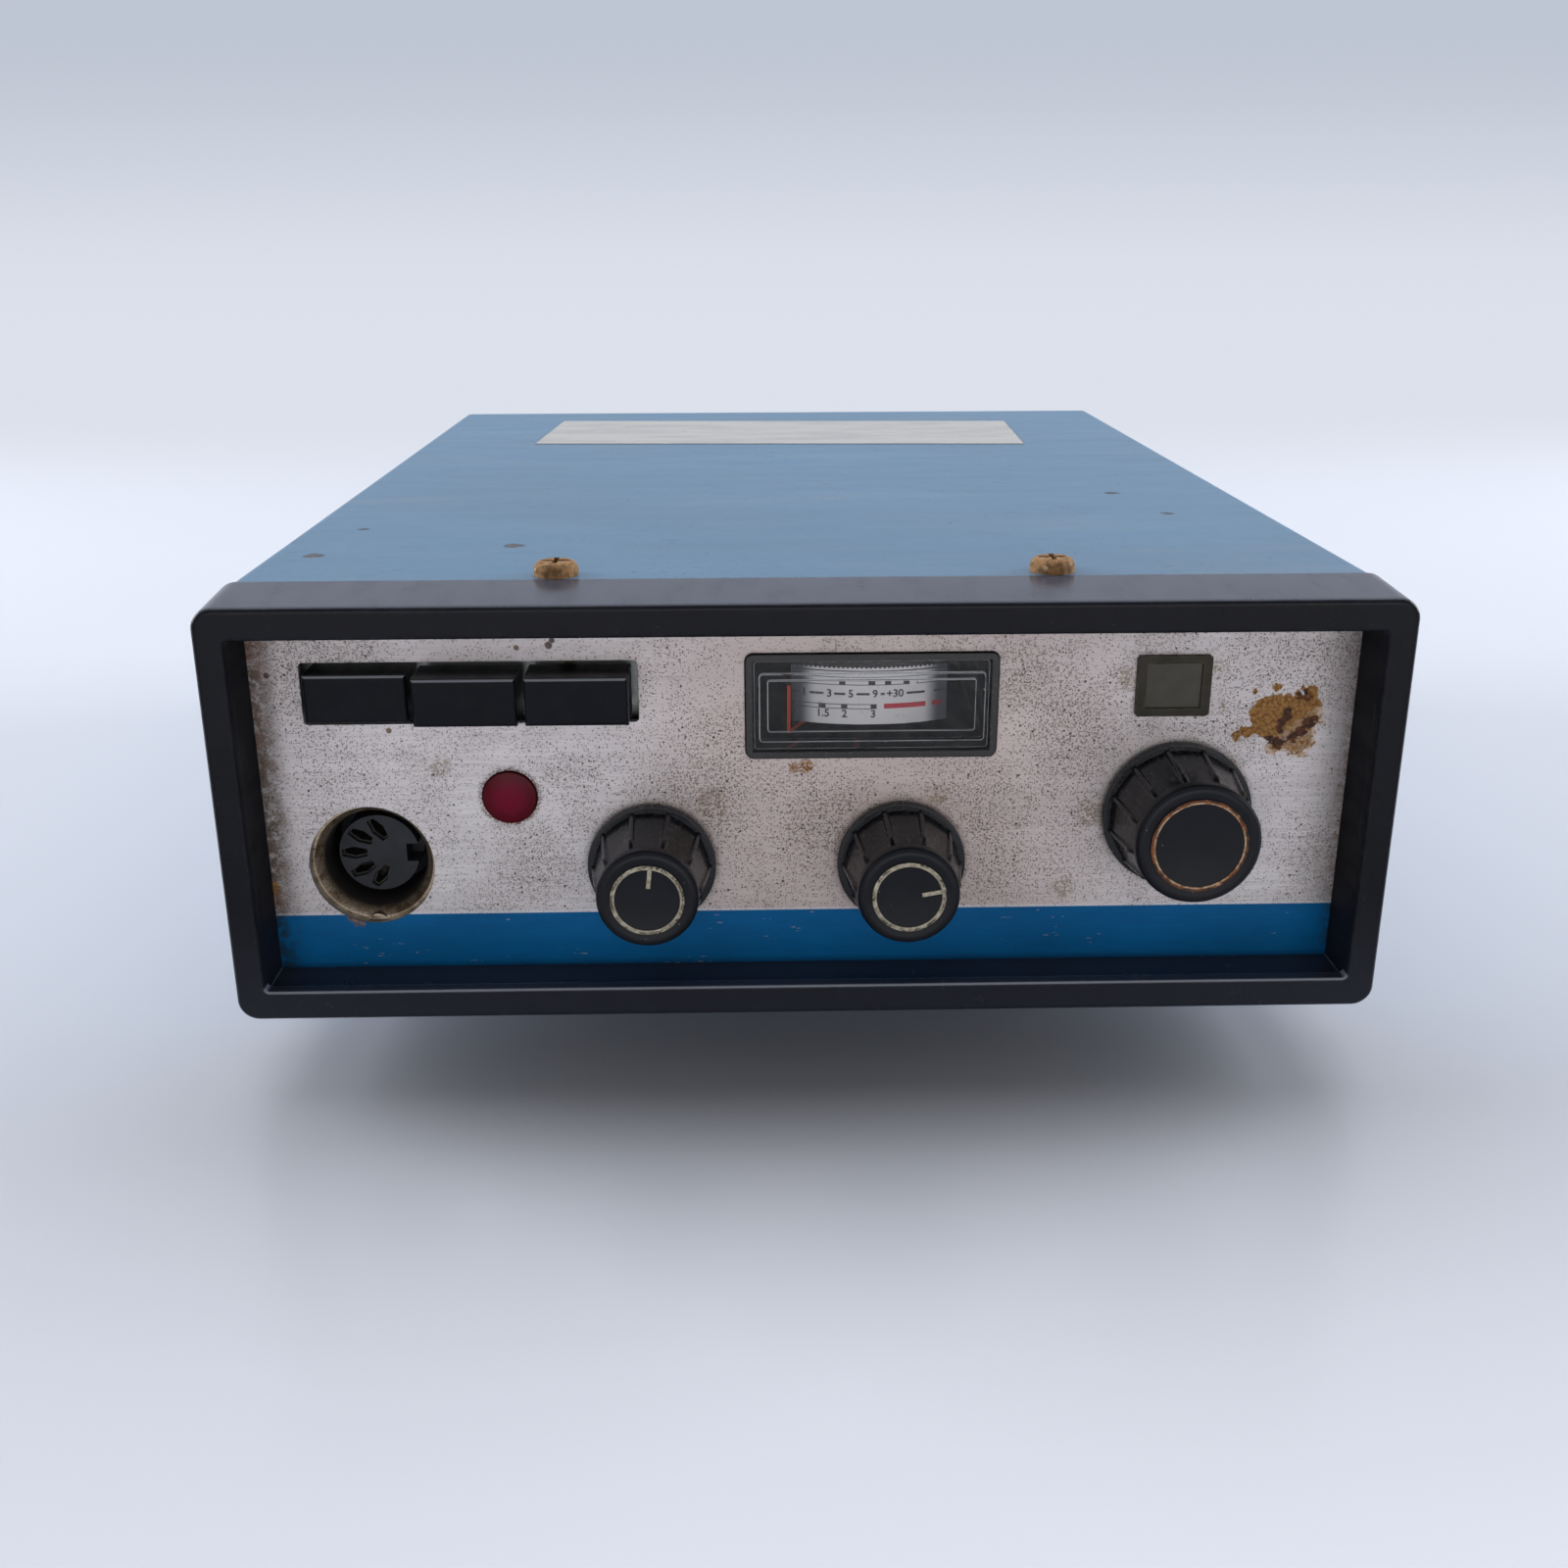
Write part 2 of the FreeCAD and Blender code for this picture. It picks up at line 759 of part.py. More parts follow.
def make_covers():
    """Top and bottom shells with their screw holes, the side insert holes and the speaker slots."""
    top = folded_channel(seam_height + seam_gap / 2, case_height)
    bottom = folded_channel(seam_height - seam_gap / 2, 0)
    cutters = []
    for x in (-front_screw_x, front_screw_x):
        cutters.append(rod_z(x, front_screw_y, -past, case_height + past, domed_hole_radius))
    for y in (side_screw_front, side_screw_rear):
        for z in (seam_height - side_screw_rise, seam_height + side_screw_rise):
            cutters.append(rod_x(y, z, -case_width, case_width, pan_hole_radius))
    cutters.append(rod_x(bracket_insert_y, bracket_insert_z, -case_width, case_width,
                         bracket_insert_radius + screw_hole_gap))
    foot_cutters = [rod_z(x, y, -past, cover_sheet + past, pan_shank_radius) for x, y in foot_places()]
    keep("top_cover", without(top, cutters))
    keep("bottom_cover", without(bottom, cutters + foot_cutters + speaker_slots()))


def speaker_slots():
    """Cutters for the row of sound slots, whose ends follow a circle."""
    cutters = []
    for index in range(slot_count):
        x = (index - (slot_count - 1) / 2) * slot_pitch
        half = math.sqrt(slot_field_radius ** 2 - x ** 2)
        straight = half - slot_width / 2
        cutters.append(block(x - slot_width / 2, x + slot_width / 2, speaker_y - straight,
                             speaker_y + straight, -past, cover_sheet + past))
        for y in (speaker_y - straight, speaker_y + straight):
            cutters.append(rod_z(x, y, -past, cover_sheet + past, slot_width / 2))
    return cutters


def foot_places():
    """Middles of the four feet."""
    rear = case_depth - foot_rear_margin
    return [(x, y) for x in (-foot_x, foot_x) for y in (foot_front, rear)]


def make_case_fasteners():
    """Domed screws at the front joint and pan-head screws along the sides."""
    domed = domed_screw()
    front = []
    for x in (-front_screw_x, front_screw_x):
        front.append(placed(domed, x, front_screw_y, case_height))
        front.append(placed(domed, x, front_screw_y, 0, Vector(0, 0, -1)))
    keep("front_screws", front)
    pan = pan_screw(pan_shank_length)
    side_screws = []
    for side in (-1, 1):
        for y in (side_screw_front, side_screw_rear):
            for z in (seam_height - side_screw_rise, seam_height + side_screw_rise):
                side_screws.append(placed(pan, side * half_width, y, z, Vector(side, 0, 0)))
    keep("side_screws", side_screws)


def make_bracket_inserts():
    """Threaded inserts in the side walls: hexagon inside the chassis, spigot out to the cover."""
    face = half_width - bracket_insert_inset
    body_face = chassis_inner - bracket_insert_depth
    hexagon = Part.Face(polygon_outline(0, 0, bracket_insert_flat / 2, 6, 0))
    hexagon = hexagon.extrude(Vector(0, bracket_insert_depth, 0))
    hexagon.rotate(Vector(0, 0, 0), Vector(0, 0, 1), -90)
    hexagon.translate(Vector(body_face, bracket_insert_y, bracket_insert_z))
    spigot = rod_x(bracket_insert_y, bracket_insert_z, chassis_inner, face, bracket_insert_radius)
    thread = rod_x(bracket_insert_y, bracket_insert_z, body_face - past, face + past,
                   bracket_thread_radius)
    insert = joined([hexagon, spigot]).cut(thread)
    keep("bracket_inserts", [insert, mirrored(insert)])


def make_feet():
    """Tapered rubber feet and the screws that hold them."""
    feet = []
    screws = []
    sink = -foot_height + foot_sink_depth
    screw = pan_screw(foot_height - foot_sink_depth + cover_sheet + screw_end)
    for x, y in foot_places():
        foot = Part.makeCone(foot_base_radius, foot_top_radius, foot_height, Vector(x, y, -foot_height))
        foot = without(foot, [rod_z(x, y, -foot_height - past, sink, foot_sink_radius),
                              rod_z(x, y, sink - past, past, pan_shank_radius)])
        feet.append(foot)
        screws.append(placed(screw, x, y, sink, Vector(0, 0, -1)))
    keep("rubber_feet", feet)
    keep("foot_screws", screws)


def make_label():
    """Bare paper label on the top shell, stuck on a little askew."""
    y = case_depth - label_from_rear
    label = block(-label_width / 2, label_width / 2, y - label_length / 2, y + label_length / 2,
                  case_height, case_height + label_thickness)
    keep("paper_label", about_z(label, 0, y, label_turn))


def make_inlay(x, z, ring_radius, pointer_angle):
    """Metal ring let into a knob's face, with a pointer bar where the knob has one."""
    face = recess_depth - knob_reach
    y_low, y_high = face - inlay_proud, face + inlay_depth
    ring = rod_y(x, z, y_low, y_high, ring_radius)
    ring = ring.cut(rod_y(x, z, y_low - past, y_high + past, ring_radius - inlay_width))
    if pointer_angle is None:
        return ring
    bar = block(x - inlay_width / 2, x + inlay_width / 2, y_low, y_high,
                z + ring_radius - pointer_length, z + ring_radius - inlay_width / 2)
    return about_y(joined([ring, bar]), x, z, pointer_angle)


def make_knob(x, z, flange_radius, cap_radius, rib_count, turn, inlay):
    """Ribbed knob: thin flange, tapered body with flats, ribs where the flats meet, plain cap."""
    back = recess_depth - knob_gap
    face = recess_depth - knob_reach
    body_front = face + cap_length
    body_back = back - flange_thickness
    flange = rod_y(x, z, body_back, back, flange_radius)
    cap = rod_y(x, z, face, body_front, cap_radius)
    cap = cap.makeFillet(cap_edge_round, edges_at_depth(cap, face))
    crest_back = flange_radius - rib_step
    crest_front = cap_radius + rib_step / 2
    corner_share = math.cos(math.pi / rib_count)
    core = Part.makeLoft([
        polygon_outline(x, z, (crest_back - rib_height) * corner_share, rib_count, body_back),
        polygon_outline(x, z, (crest_front - rib_height) * corner_share, rib_count, body_front),
    ], True, True)
    side = x - rib_width / 2
    rib_end = body_front - rib_step
    corners = [
        Vector(side, body_back, z + cap_radius / 2), Vector(side, body_back, z + crest_back),
        Vector(side, rib_end, z + crest_front), Vector(side, rib_end, z + cap_radius / 2),
    ]
    rib = Part.Face(Part.makePolygon(corners + [corners[0]])).extrude(Vector(rib_width, 0, 0))
    ribs = [about_y(rib, x, z, index * 360 / rib_count) for index in range(rib_count)]
    knob = about_y(joined([core, flange, cap] + ribs), x, z, turn + 180 / rib_count)
    socket = rod_y(x, z, back - knob_socket_depth, back + past, shaft_radius)
    return without(knob, [socket, inlay])


def make_bushed_body(x, z, body_radius, body_depth, bore_depth):
    """Round control body behind the bulkhead with its bushing through it and a blind shaft bore."""
    front = bulkhead_front - nut_thickness - bushing_proud
    rear = frame_depth + body_depth
    body = joined([rod_y(x, z, frame_depth, rear, body_radius),
                   rod_y(x, z, front, frame_depth + root, bushing_radius)])
    return body.cut(rod_y(x, z, front - past, frame_depth + bore_depth, shaft_radius + running_gap))


def solder_lugs(x, z, body_radius, y):
    """Three solder lugs in a row below a potentiometer."""
    lugs = []
    for index in (-1, 0, 1):
        middle = x + index * lug_pitch
        lugs.append(block(middle - lug_width / 2, middle + lug_width / 2, y, y + lug_thickness,
                          z - body_radius - lug_length / 2, z - body_radius + lug_length))
    return lugs


def make_small_controls():
    """Volume and squelch: knob, inlay, shaft and potentiometer; the volume one has a mains switch."""
    shaft_front = recess_depth - knob_gap - knob_socket_depth + running_gap
    shaft_rear = frame_depth + pot_bore_depth - moving_gap
    for name, x, angle in (("volume", volume_x, volume_pointer_angle),
                           ("squelch", squelch_x, squelch_pointer_angle)):
        z = small_knob_height
        inlay = make_inlay(x, z, small_ring_radius, angle)
        keep(name + "_knob", make_knob(x, z, small_flange_radius, small_cap_radius, small_rib_count,
                                       angle, inlay))
        keep(name + "_inlay", inlay)
        keep(name + "_shaft", rod_y(x, z, shaft_front, shaft_rear, shaft_radius))
        body = make_bushed_body(x, z, pot_radius, pot_depth, pot_bore_depth)
        extras = solder_lugs(x, z, pot_radius, frame_depth + pot_depth / 2)
        if name == "volume":
            extras.append(rod_y(x, z, frame_depth + pot_depth - root,
                                frame_depth + pot_depth + pot_switch_depth, pot_switch_radius))
        keep(name + "_potentiometer", joined([body] + extras))


def make_channel_selector():
    """Channel selector: knob, inlay, shaft with blade, number dial, detent housing and wafers."""
    x, z = channel_x, channel_height
    inlay = make_inlay(x, z, large_ring_radius, None)
    keep("channel_knob", make_knob(x, z, large_flange_radius, large_cap_radius, large_rib_count,
                                   channel_turn, inlay))
    keep("channel_inlay", inlay)
    last_wafer = frame_depth + detent_depth + wafer_count * wafer_pitch
    shaft_front = recess_depth - knob_gap - knob_socket_depth + running_gap
    blade_end = last_wafer + wafer_thickness + wafer_rod_end
    shaft = joined([rod_y(x, z, shaft_front, frame_depth + detent_depth, shaft_radius),
                    rod_y(x, z, frame_depth + detent_depth, blade_end, blade_radius)])
    keep("channel_shaft", shaft)
    dial_front = panel_rear + dial_gap
    dial = joined([rod_y(x, z, dial_front, dial_front + dial_thickness, dial_radius),
                   rod_y(x, z, dial_front, dial_front + dial_thickness + dial_hub_step, dial_hub_radius)])
    keep("channel_dial", dial.cut(rod_y(x, z, panel_rear, bulkhead_front, shaft_radius)))
    housing = make_bushed_body(x, z, detent_radius, detent_depth, detent_depth + past)
    rods = []
    for side in (-1, 1):
        rods.append(rod_y(x + side * wafer_rod_offset, z, frame_depth + detent_depth - root,
                          last_wafer + wafer_thickness + wafer_rod_end, wafer_rod_radius))
    keep("channel_switch", joined([housing] + rods))
    wafers = []
    for index in range(wafer_count):
        y = frame_depth + detent_depth + (index + 1) * wafer_pitch
        wafer = rod_y(x, z, y, y + wafer_thickness, wafer_radius)
        hub = rod_y(x, z, y - past, y + wafer_thickness + past, blade_radius + blade_gap)
        wafers.append(without(wafer, rods + [hub]))
    keep("channel_wafers", wafers)


def make_control_nuts():
    """Hexagon nuts that clamp the three bushings to the bulkhead."""
    nuts = []
    for x, z in control_places():
        y = bulkhead_front - nut_thickness
        nut = Part.Face(polygon_outline(x, z, nut_across_flats / 2, 6, y))
        nut = nut.extrude(Vector(0, nut_thickness, 0))
        nuts.append(nut.cut(rod_y(x, z, y - past, bulkhead_front + past, bushing_radius)))
    keep("control_nuts", nuts)


def key_position(index):
    """Middle of a push key across the panel, counted from the left."""
    return key_slot_x + (index - (key_count - 1) / 2) * key_pitch


def make_keys():
    """Three push keys, the left one latched in, with their stems, bracket and switch bodies."""
    cap_back = bulkhead_front - moving_gap - key_travel
    cap_front = recess_depth - key_out
    names = ("left_key", "middle_key", "right_key")
    pressed = (key_latch_depth, 0, 0)
    switch_front = frame_depth + bracket_thickness
    bodies = []
    stem_holes = []
    for index in range(key_count):
        x = key_position(index)
        cap = block(x - key_width / 2, x + key_width / 2, cap_front, cap_back,
                    key_z - key_height / 2, key_z + key_height / 2)
        cap = cap.makeFillet(key_edge_round, edges_at_depth(cap, cap_front))
        stem = stem_passage(x, cap_back - root, cap_back + stem_length, 0)
        key = joined([cap, stem])
        keep(names[index], key.translated(Vector(0, pressed[index], 0)))
        channel_end = cap_back + stem_length + key_travel + moving_gap
        channel = stem_passage(x, switch_front - past, channel_end, slide_gap)
        body = block(x - switch_width / 2, x + switch_width / 2, switch_front,
                     switch_front + switch_depth, key_z - switch_height / 2, key_z + switch_height / 2)
        pins = []
        for row in (1, 2, 3):
            for side in (-1, 1):
                pins.append(rod_z(x + side * switch_width / 4, switch_front + row * switch_depth / 4,
                                  key_z - switch_height / 2 - switch_pin_length,
                                  key_z - switch_height / 2 + root, switch_pin_radius))
        bodies.append(joined([body.cut(channel)] + pins))
        stem_holes.append(stem_passage(x, frame_depth - past, switch_front + past, moving_gap))
    plate = rounded_plate(key_slot_x, key_z, key_slot_width, switch_height + 2 * bracket_margin,
                          key_slot_corner, frame_depth, switch_front)
    keep("key_bracket", without(plate, stem_holes))
    keep("key_switches", bodies)


def make_meter():
    """Edge meter: clear stepped window, case, curved scale, pointer with staff, and its yoke."""
    front = recess_depth - meter_proud
    case_front = front + meter_window_depth
    outer = rounded_plate(meter_x, meter_z, meter_width, meter_height, meter_corner, front, case_front)
    step = rounded_plate(meter_x, meter_z, meter_width - 2 * meter_step_side,
                         meter_height - 2 * meter_step_end, meter_corner / 2, front - meter_step, front)
    hollow = rounded_plate(meter_x, meter_z, meter_width - 2 * meter_wall,
                           meter_height - 2 * meter_wall, meter_corner / 2,
                           front + meter_wall, case_front + past)
    step_hollow = rounded_plate(meter_x, meter_z, meter_width - 2 * (meter_step_side + meter_wall),
                                meter_height - 2 * (meter_step_end + meter_wall), meter_corner / 3,
                                front - meter_step + meter_wall, front + meter_wall + root)
    keep("meter_window", without(joined([outer, step]), [hollow, step_hollow]))
    case_rear = case_front + meter_case_depth
    case = rounded_plate(meter_x, meter_z, meter_width, meter_height, meter_corner, case_front, case_rear)
    inside_z_low = meter_z - meter_height / 2 + meter_wall
    inside_z_high = meter_z + meter_height / 2 - meter_wall
    inside_x_low = meter_x - meter_width / 2 + meter_wall
    inside_x_high = meter_x + meter_width / 2 - meter_wall
    case = case.cut(block(inside_x_low, inside_x_high, case_front - past, case_rear - meter_wall,
                          inside_z_low, inside_z_high))
    keep("meter_case", case)
    scale_front = front + meter_wall + scale_setback
    pivot_y = scale_front + scale_radius
    scale_low = inside_z_high - scale_height - drop_in_gap
    scale_high = inside_z_high
    tube = rod_z(meter_x, pivot_y, scale_low, scale_high, scale_radius)
    tube = tube.cut(rod_z(meter_x, pivot_y, scale_low - past, scale_high + past,
                          scale_radius - scale_thickness))
    half = scale_radius * math.sin(math.radians(scale_half_angle))
    window = block(meter_x - half, meter_x + half, scale_front - past, pivot_y - scale_radius / 2,
                   scale_low - past, scale_high + past)
    keep("meter_scale", tube.common(window))
    make_meter_movement(pivot_y, inside_z_low, inside_z_high, case_rear - meter_wall)


def make_meter_movement(pivot_y, inside_z_low, inside_z_high, inside_rear):
    """Pointer that swings in front of the curved scale, on an upright staff between a yoke's arms."""
    reach = scale_radius + pointer_gap + pointer_thickness
    foot_top = inside_z_low + yoke_foot
    bridge_low = inside_z_high - yoke_bridge
    arm_low = foot_top + moving_gap
    half = pointer_thickness / 2
    arm = block(meter_x - half, meter_x + half, pivot_y - reach, pivot_y,
                arm_low, arm_low + pointer_thickness)
    blade = block(meter_x - half, meter_x + half, pivot_y - reach,
                  pivot_y - reach + pointer_thickness, arm_low, arm_low + pointer_rise)
    hub = rod_z(meter_x, pivot_y, arm_low, arm_low + hub_height, pointer_hub_radius)
    staff = rod_z(meter_x, pivot_y, foot_top - yoke_foot / 2, bridge_low + yoke_bridge / 2, staff_radius)
    pointer = joined([arm, blade, hub, staff])
    keep("meter_pointer", about_z(pointer, meter_x, pivot_y, pointer_rest_angle))
    left, right = meter_x - yoke_width / 2, meter_x + yoke_width / 2
    yoke_front = pivot_y - yoke_depth / 2
    yoke = block(left, right, yoke_front, inside_rear, inside_z_low, inside_z_high)
    gap = block(left - past, right + past, yoke_front - past, yoke_front + yoke_depth,
                foot_top, bridge_low)
    bore = rod_z(meter_x, pivot_y, foot_top - yoke_foot / 2 - running_gap,
                 bridge_low + yoke_bridge / 2 + running_gap, staff_radius + running_gap)
    keep("meter_yoke", without(yoke, [gap, bore]))


def make_alarm_lamp():
    """Red lens in the panel and the closed lamp holder behind it."""
    front = recess_depth - lens_proud
    ball_radius = (lens_radius ** 2 + lens_dome ** 2) / (2 * lens_dome)
    ball = Part.makeSphere(ball_radius, Vector(lens_x, front + ball_radius, lens_z))
    lens = rod_y(lens_x, lens_z, front, front + lens_length, lens_radius).common(ball)
    keep("alarm_lens", lens)
    outer = lens_radius + lamp_wall
    holder = rod_y(lens_x, lens_z, panel_rear, panel_rear + lamp_depth, outer)
    tip = rod_y(lens_x, lens_z, panel_rear - past, front + lens_length, lens_radius)
    cavity = rod_y(lens_x, lens_z, front + lens_length - root, panel_rear + lamp_depth - lamp_cap,
                   lens_radius - lamp_wall)
    keep("lamp_holder", without(holder, [tip, cavity]))


def make_channel_window():
    """Frame of the number window and the pane let into it."""
    front = recess_depth - window_proud
    flange = rounded_plate(window_x, window_z, window_width, window_height, window_corner,
                           front, recess_depth)
    neck = block(window_x - window_width / 2 + window_lap + drop_in_gap,
                 window_x + window_width / 2 - window_lap - drop_in_gap,
                 recess_depth, panel_rear,
                 window_z - window_height / 2 + window_lap + drop_in_gap,
                 window_z + window_height / 2 - window_lap - drop_in_gap)
    pane_width = window_width - 2 * window_side_wall
    pane_height = window_height - 2 * window_end_wall
    pane = block(window_x - pane_width / 2, window_x + pane_width / 2,
                 front + pane_inset, front + pane_inset + pane_thickness,
                 window_z - pane_height / 2, window_z + pane_height / 2)
    opening = block(window_x - pane_width / 2, window_x + pane_width / 2, front - past, panel_rear + past,
                    window_z - pane_height / 2, window_z + pane_height / 2)
    keep("window_frame", joined([flange, neck]).cut(opening))
    keep("window_pane", pane)


def flared_mouth(x, z):
    """Cutter for the socket's bell mouth, whose curve runs out into the throat."""
    front = panel_rear
    throat = front + socket_mouth_depth
    flare = socket_shell_radius - socket_throat_radius
    bend = (flare ** 2 + socket_mouth_depth ** 2) / (2 * flare)
    half_turn = math.asin(socket_mouth_depth / bend) / 2
    middle = Vector(x + socket_throat_radius + bend * (1 - math.cos(half_turn)),
                    throat - bend * math.sin(half_turn), z)
    corners = [
        Vector(x + socket_throat_radius, throat, z), Vector(x, throat, z), Vector(x, front - past, z),
        Vector(x + socket_shell_radius, front - past, z), Vector(x + socket_shell_radius, front, z),
    ]
    curve = Part.Arc(corners[-1], middle, corners[0]).toShape()
    face = Part.Face(Part.Wire(Part.makePolygon(corners).Edges + [curve]))
    return face.revolve(Vector(x, 0, z), Vector(0, 1, 0), 360)


def pin_slot(x, z, angle, inset, y_low, y_high):
    """Six-sided prism of one pin slot, pointed at the slots' common focus, smaller by the inset."""
    turn = math.radians(angle)
    across, up = pin_circle_radius * math.sin(turn), pin_circle_radius * math.cos(turn)
    half_length = pin_slot_length / 2 - inset
    half_middle = pin_slot_width / 2 - inset
    half_end = pin_slot_end_width / 2 - inset
    corners = [
        Vector(-half_end, y_low, -half_length), Vector(-half_middle, y_low, 0),
        Vector(-half_end, y_low, half_length), Vector(half_end, y_low, half_length),
        Vector(half_middle, y_low, 0), Vector(half_end, y_low, -half_length),
    ]
    face = Part.Face(Part.makePolygon(corners + [corners[0]]))
    prism = face.extrude(Vector(0, y_high - y_low, 0))
    aim = math.degrees(math.atan2(across - pin_slot_focus, up))
    return about_y(prism, 0, 0, aim).translated(Vector(x + across, 0, z + up))


def make_microphone_socket():
    """Round socket: bell-mouthed shell with flange, slotted insert with key notch, and contacts."""
    x, z = socket_x, socket_z
    front = panel_rear
    rear = front + socket_length
    tube = joined([
        rod_y(x, z, front, rear, socket_shell_radius),
        rod_y(x, z, front, front + socket_flange_thickness, socket_flange_radius),
    ])
    tube = without(tube, [rod_y(x, z, front, rear + past, socket_throat_radius), flared_mouth(x, z)])
    nib = rod_y(x, z - socket_nib_drop, front - socket_nib_proud, front + socket_flange_thickness,
                socket_nib_radius)
    nib = nib.common(rod_y(x, z, front - past, rear, socket_hole_radius - drop_in_gap))
    keep("socket_shell", joined([tube, nib]))
    insert_front = recess_depth + insert_setback
    insert = joined([rod_y(x, z, insert_front, rear, insert_radius),
                     rod_y(x, z, rear - insert_base, rear, socket_throat_radius)])
    slot_floor = insert_front + pin_slot_depth
    contact_front = insert_front + contact_setback
    cutters = []
    contacts = []
    for index in range(pin_count):
        angle = -90 + (index - (pin_count - 1) / 2) * pin_spread
        cutters.append(pin_slot(x, z, angle, 0, insert_front - past, slot_floor))
        sleeve = pin_slot(x, z, angle, 0, contact_front, slot_floor)
        hollow = pin_slot(x, z, angle, contact_wall, contact_front - past, slot_floor - contact_wall)
        contacts.append(sleeve.cut(hollow))
    cutters.append(block(x + insert_radius - socket_key_depth, x + insert_radius + past,
                         insert_front - past, insert_front + pin_slot_depth,
                         z - socket_key_width / 2, z + socket_key_width / 2))
    keep("socket_insert", without(insert, cutters))
    keep("socket_contacts", contacts)


def make_speaker():
    """Loudspeaker that faces down through the slots: basket with magnet, and the paper cone."""
    floor = cover_sheet
    wall = speaker_flange
    top = floor + wall + basket_height
    basket = turned_z(0, speaker_y, [
        (speaker_opening, floor), (speaker_radius, floor), (speaker_radius, floor + wall),
        (speaker_opening + wall, floor + wall), (basket_neck_radius + wall, top), (0, top),
        (0, top - wall), (basket_neck_radius, top - wall), (speaker_opening, floor + wall),
    ])
    magnet = rod_z(0, speaker_y, top, top + magnet_height, magnet_radius)
    keep("speaker_basket", joined([basket, magnet]))
    edge = speaker_opening - cone_edge_gap
    slope_start = edge - cone_edge_width
    low = floor + cone_thickness
    high = low + cone_thickness
    neck = top - wall - cone_rise_gap
    dust_cap = neck - cone_cap_sink
    cone = turned_z(0, speaker_y, [
        (edge, low), (edge, high), (slope_start, high), (cone_neck_radius, neck), (0, dust_cap),
        (0, dust_cap - cone_thickness), (cone_neck_radius, neck - cone_thickness), (slope_start, low),
    ])
    keep("speaker_cone", cone)


def make_board():
    """Main board, screwed to the chassis ledges."""
    front, rear = board_ends()
    half = chassis_inner - board_side_gap
    board = block(-half, half, front, rear, board_height, board_height + board_thickness)
    holes = []
    for x, y in board_screw_places():
        holes.append(rod_z(x, y, board_height - past, board_height + board_thickness + past,
                           pan_shank_radius))
    keep("main_board", without(board, holes))


def board_ends():
    """Front and rear edge of the main board."""
    front = board_ledge_start + board_end_gap
    return front, rear_panel_front - board_ledge_margin - board_end_gap


def board_screw_places():
    """Middles of the screws that hold the main board on the two ledges."""
    screw_x = chassis_inner - rear_screw_side
    return [(x, y) for x in (-screw_x, screw_x) for y in board_screw_rows()]


def rear_screw_places():
    """Middles of the screws that hold the rear panel on the chassis flanges."""
    screw_x = chassis_inner - rear_screw_side
    return [(x, z) for x in (-screw_x, screw_x)
            for z in (rear_screw_height, case_height - rear_screw_height)]


def make_inner_screws():
    """Pan-head screws of the main board, the rear panel and the antenna socket."""
    board_screw = pan_screw(board_thickness + chassis_sheet + screw_end)
    panel_screw = pan_screw(rear_panel_thickness + chassis_sheet + screw_end)
    socket_screw = pan_screw(antenna_screw_length)
    screws = []
    for x, y in board_screw_places():
        screws.append(placed(board_screw, x, y, board_height + board_thickness))
    for x, z in rear_screw_places():
        screws.append(placed(panel_screw, x, rear_panel_back, z, Vector(0, 1, 0)))
    for x, z in antenna_screw_places():
        screws.append(placed(socket_screw, x, rear_panel_back + antenna_flange_thickness, z,
                             Vector(0, 1, 0)))
    keep("chassis_screws", screws)


def spread(count, pitch):
    """Places of a row of things, centred on the middle plane."""
    return [(index - (count - 1) / 2) * pitch for index in range(count)]


def make_board_parts():
    """Rows of crystals, coil cans and capacitors on the main board."""
    top = board_height + board_thickness
    front = board_ends()[0]
    crystals = []
    for x in spread(crystal_count, crystal_pitch):
        can = block(x - crystal_width / 2, x + crystal_width / 2, front + crystal_row,
                    front + crystal_row + crystal_depth, top, top + crystal_height)
        upright = [edge for edge in can.Edges if edge.BoundBox.ZLength > crystal_height / 2]
        crystals.append(can.makeFillet(crystal_corner, upright))
    keep("crystals", crystals)
    coils = []
    for x in spread(coil_count, coil_pitch):
        y = front + coil_row
        can = block(x - coil_width / 2, x + coil_width / 2, y - coil_width / 2, y + coil_width / 2,
                    top, top + coil_height)
        coils.append(can.cut(rod_z(x, y, top + coil_height - coil_hole_depth, top + coil_height + past,
                                   coil_hole_radius)))
    keep("coil_cans", coils)
    capacitors = []
    for x in spread(capacitor_count, capacitor_pitch):
        capacitors.append(rod_z(x, front + capacitor_row, top, top + capacitor_height, capacitor_radius))
    keep("capacitors", capacitors)


def make_rear_panel():
    """Rear panel with its openings for the antenna socket, the supply inlet and the jack."""
    low = cover_sheet + rear_panel_gap
    high = case_height - cover_sheet - rear_panel_gap
    half = half_width - cover_sheet - rear_panel_gap
    front, back = rear_panel_front - past, rear_panel_back + past
    inlet_half_width = inlet_body_width / 2 + drop_in_gap
    inlet_half_height = inlet_body_height / 2 + drop_in_gap
    cutters = [
        rod_y(antenna_x, antenna_height, front, back, antenna_barrel_radius + drop_in_gap),
        block(inlet_x - inlet_half_width, inlet_x + inlet_half_width, front, back,
              inlet_height - inlet_half_height, inlet_height + inlet_half_height),
        rod_y(inlet_x, jack_height, front, back, jack_bush_radius + drop_in_gap),
    ]
    for x, z in antenna_screw_places() + rear_screw_places():
        cutters.append(rod_y(x, z, front, back, pan_shank_radius))
    plate = rounded_plate(0, mid_height, 2 * half, high - low, cover_bend - cover_sheet,
                          rear_panel_front, rear_panel_back)
    keep("rear_panel", without(plate, cutters))


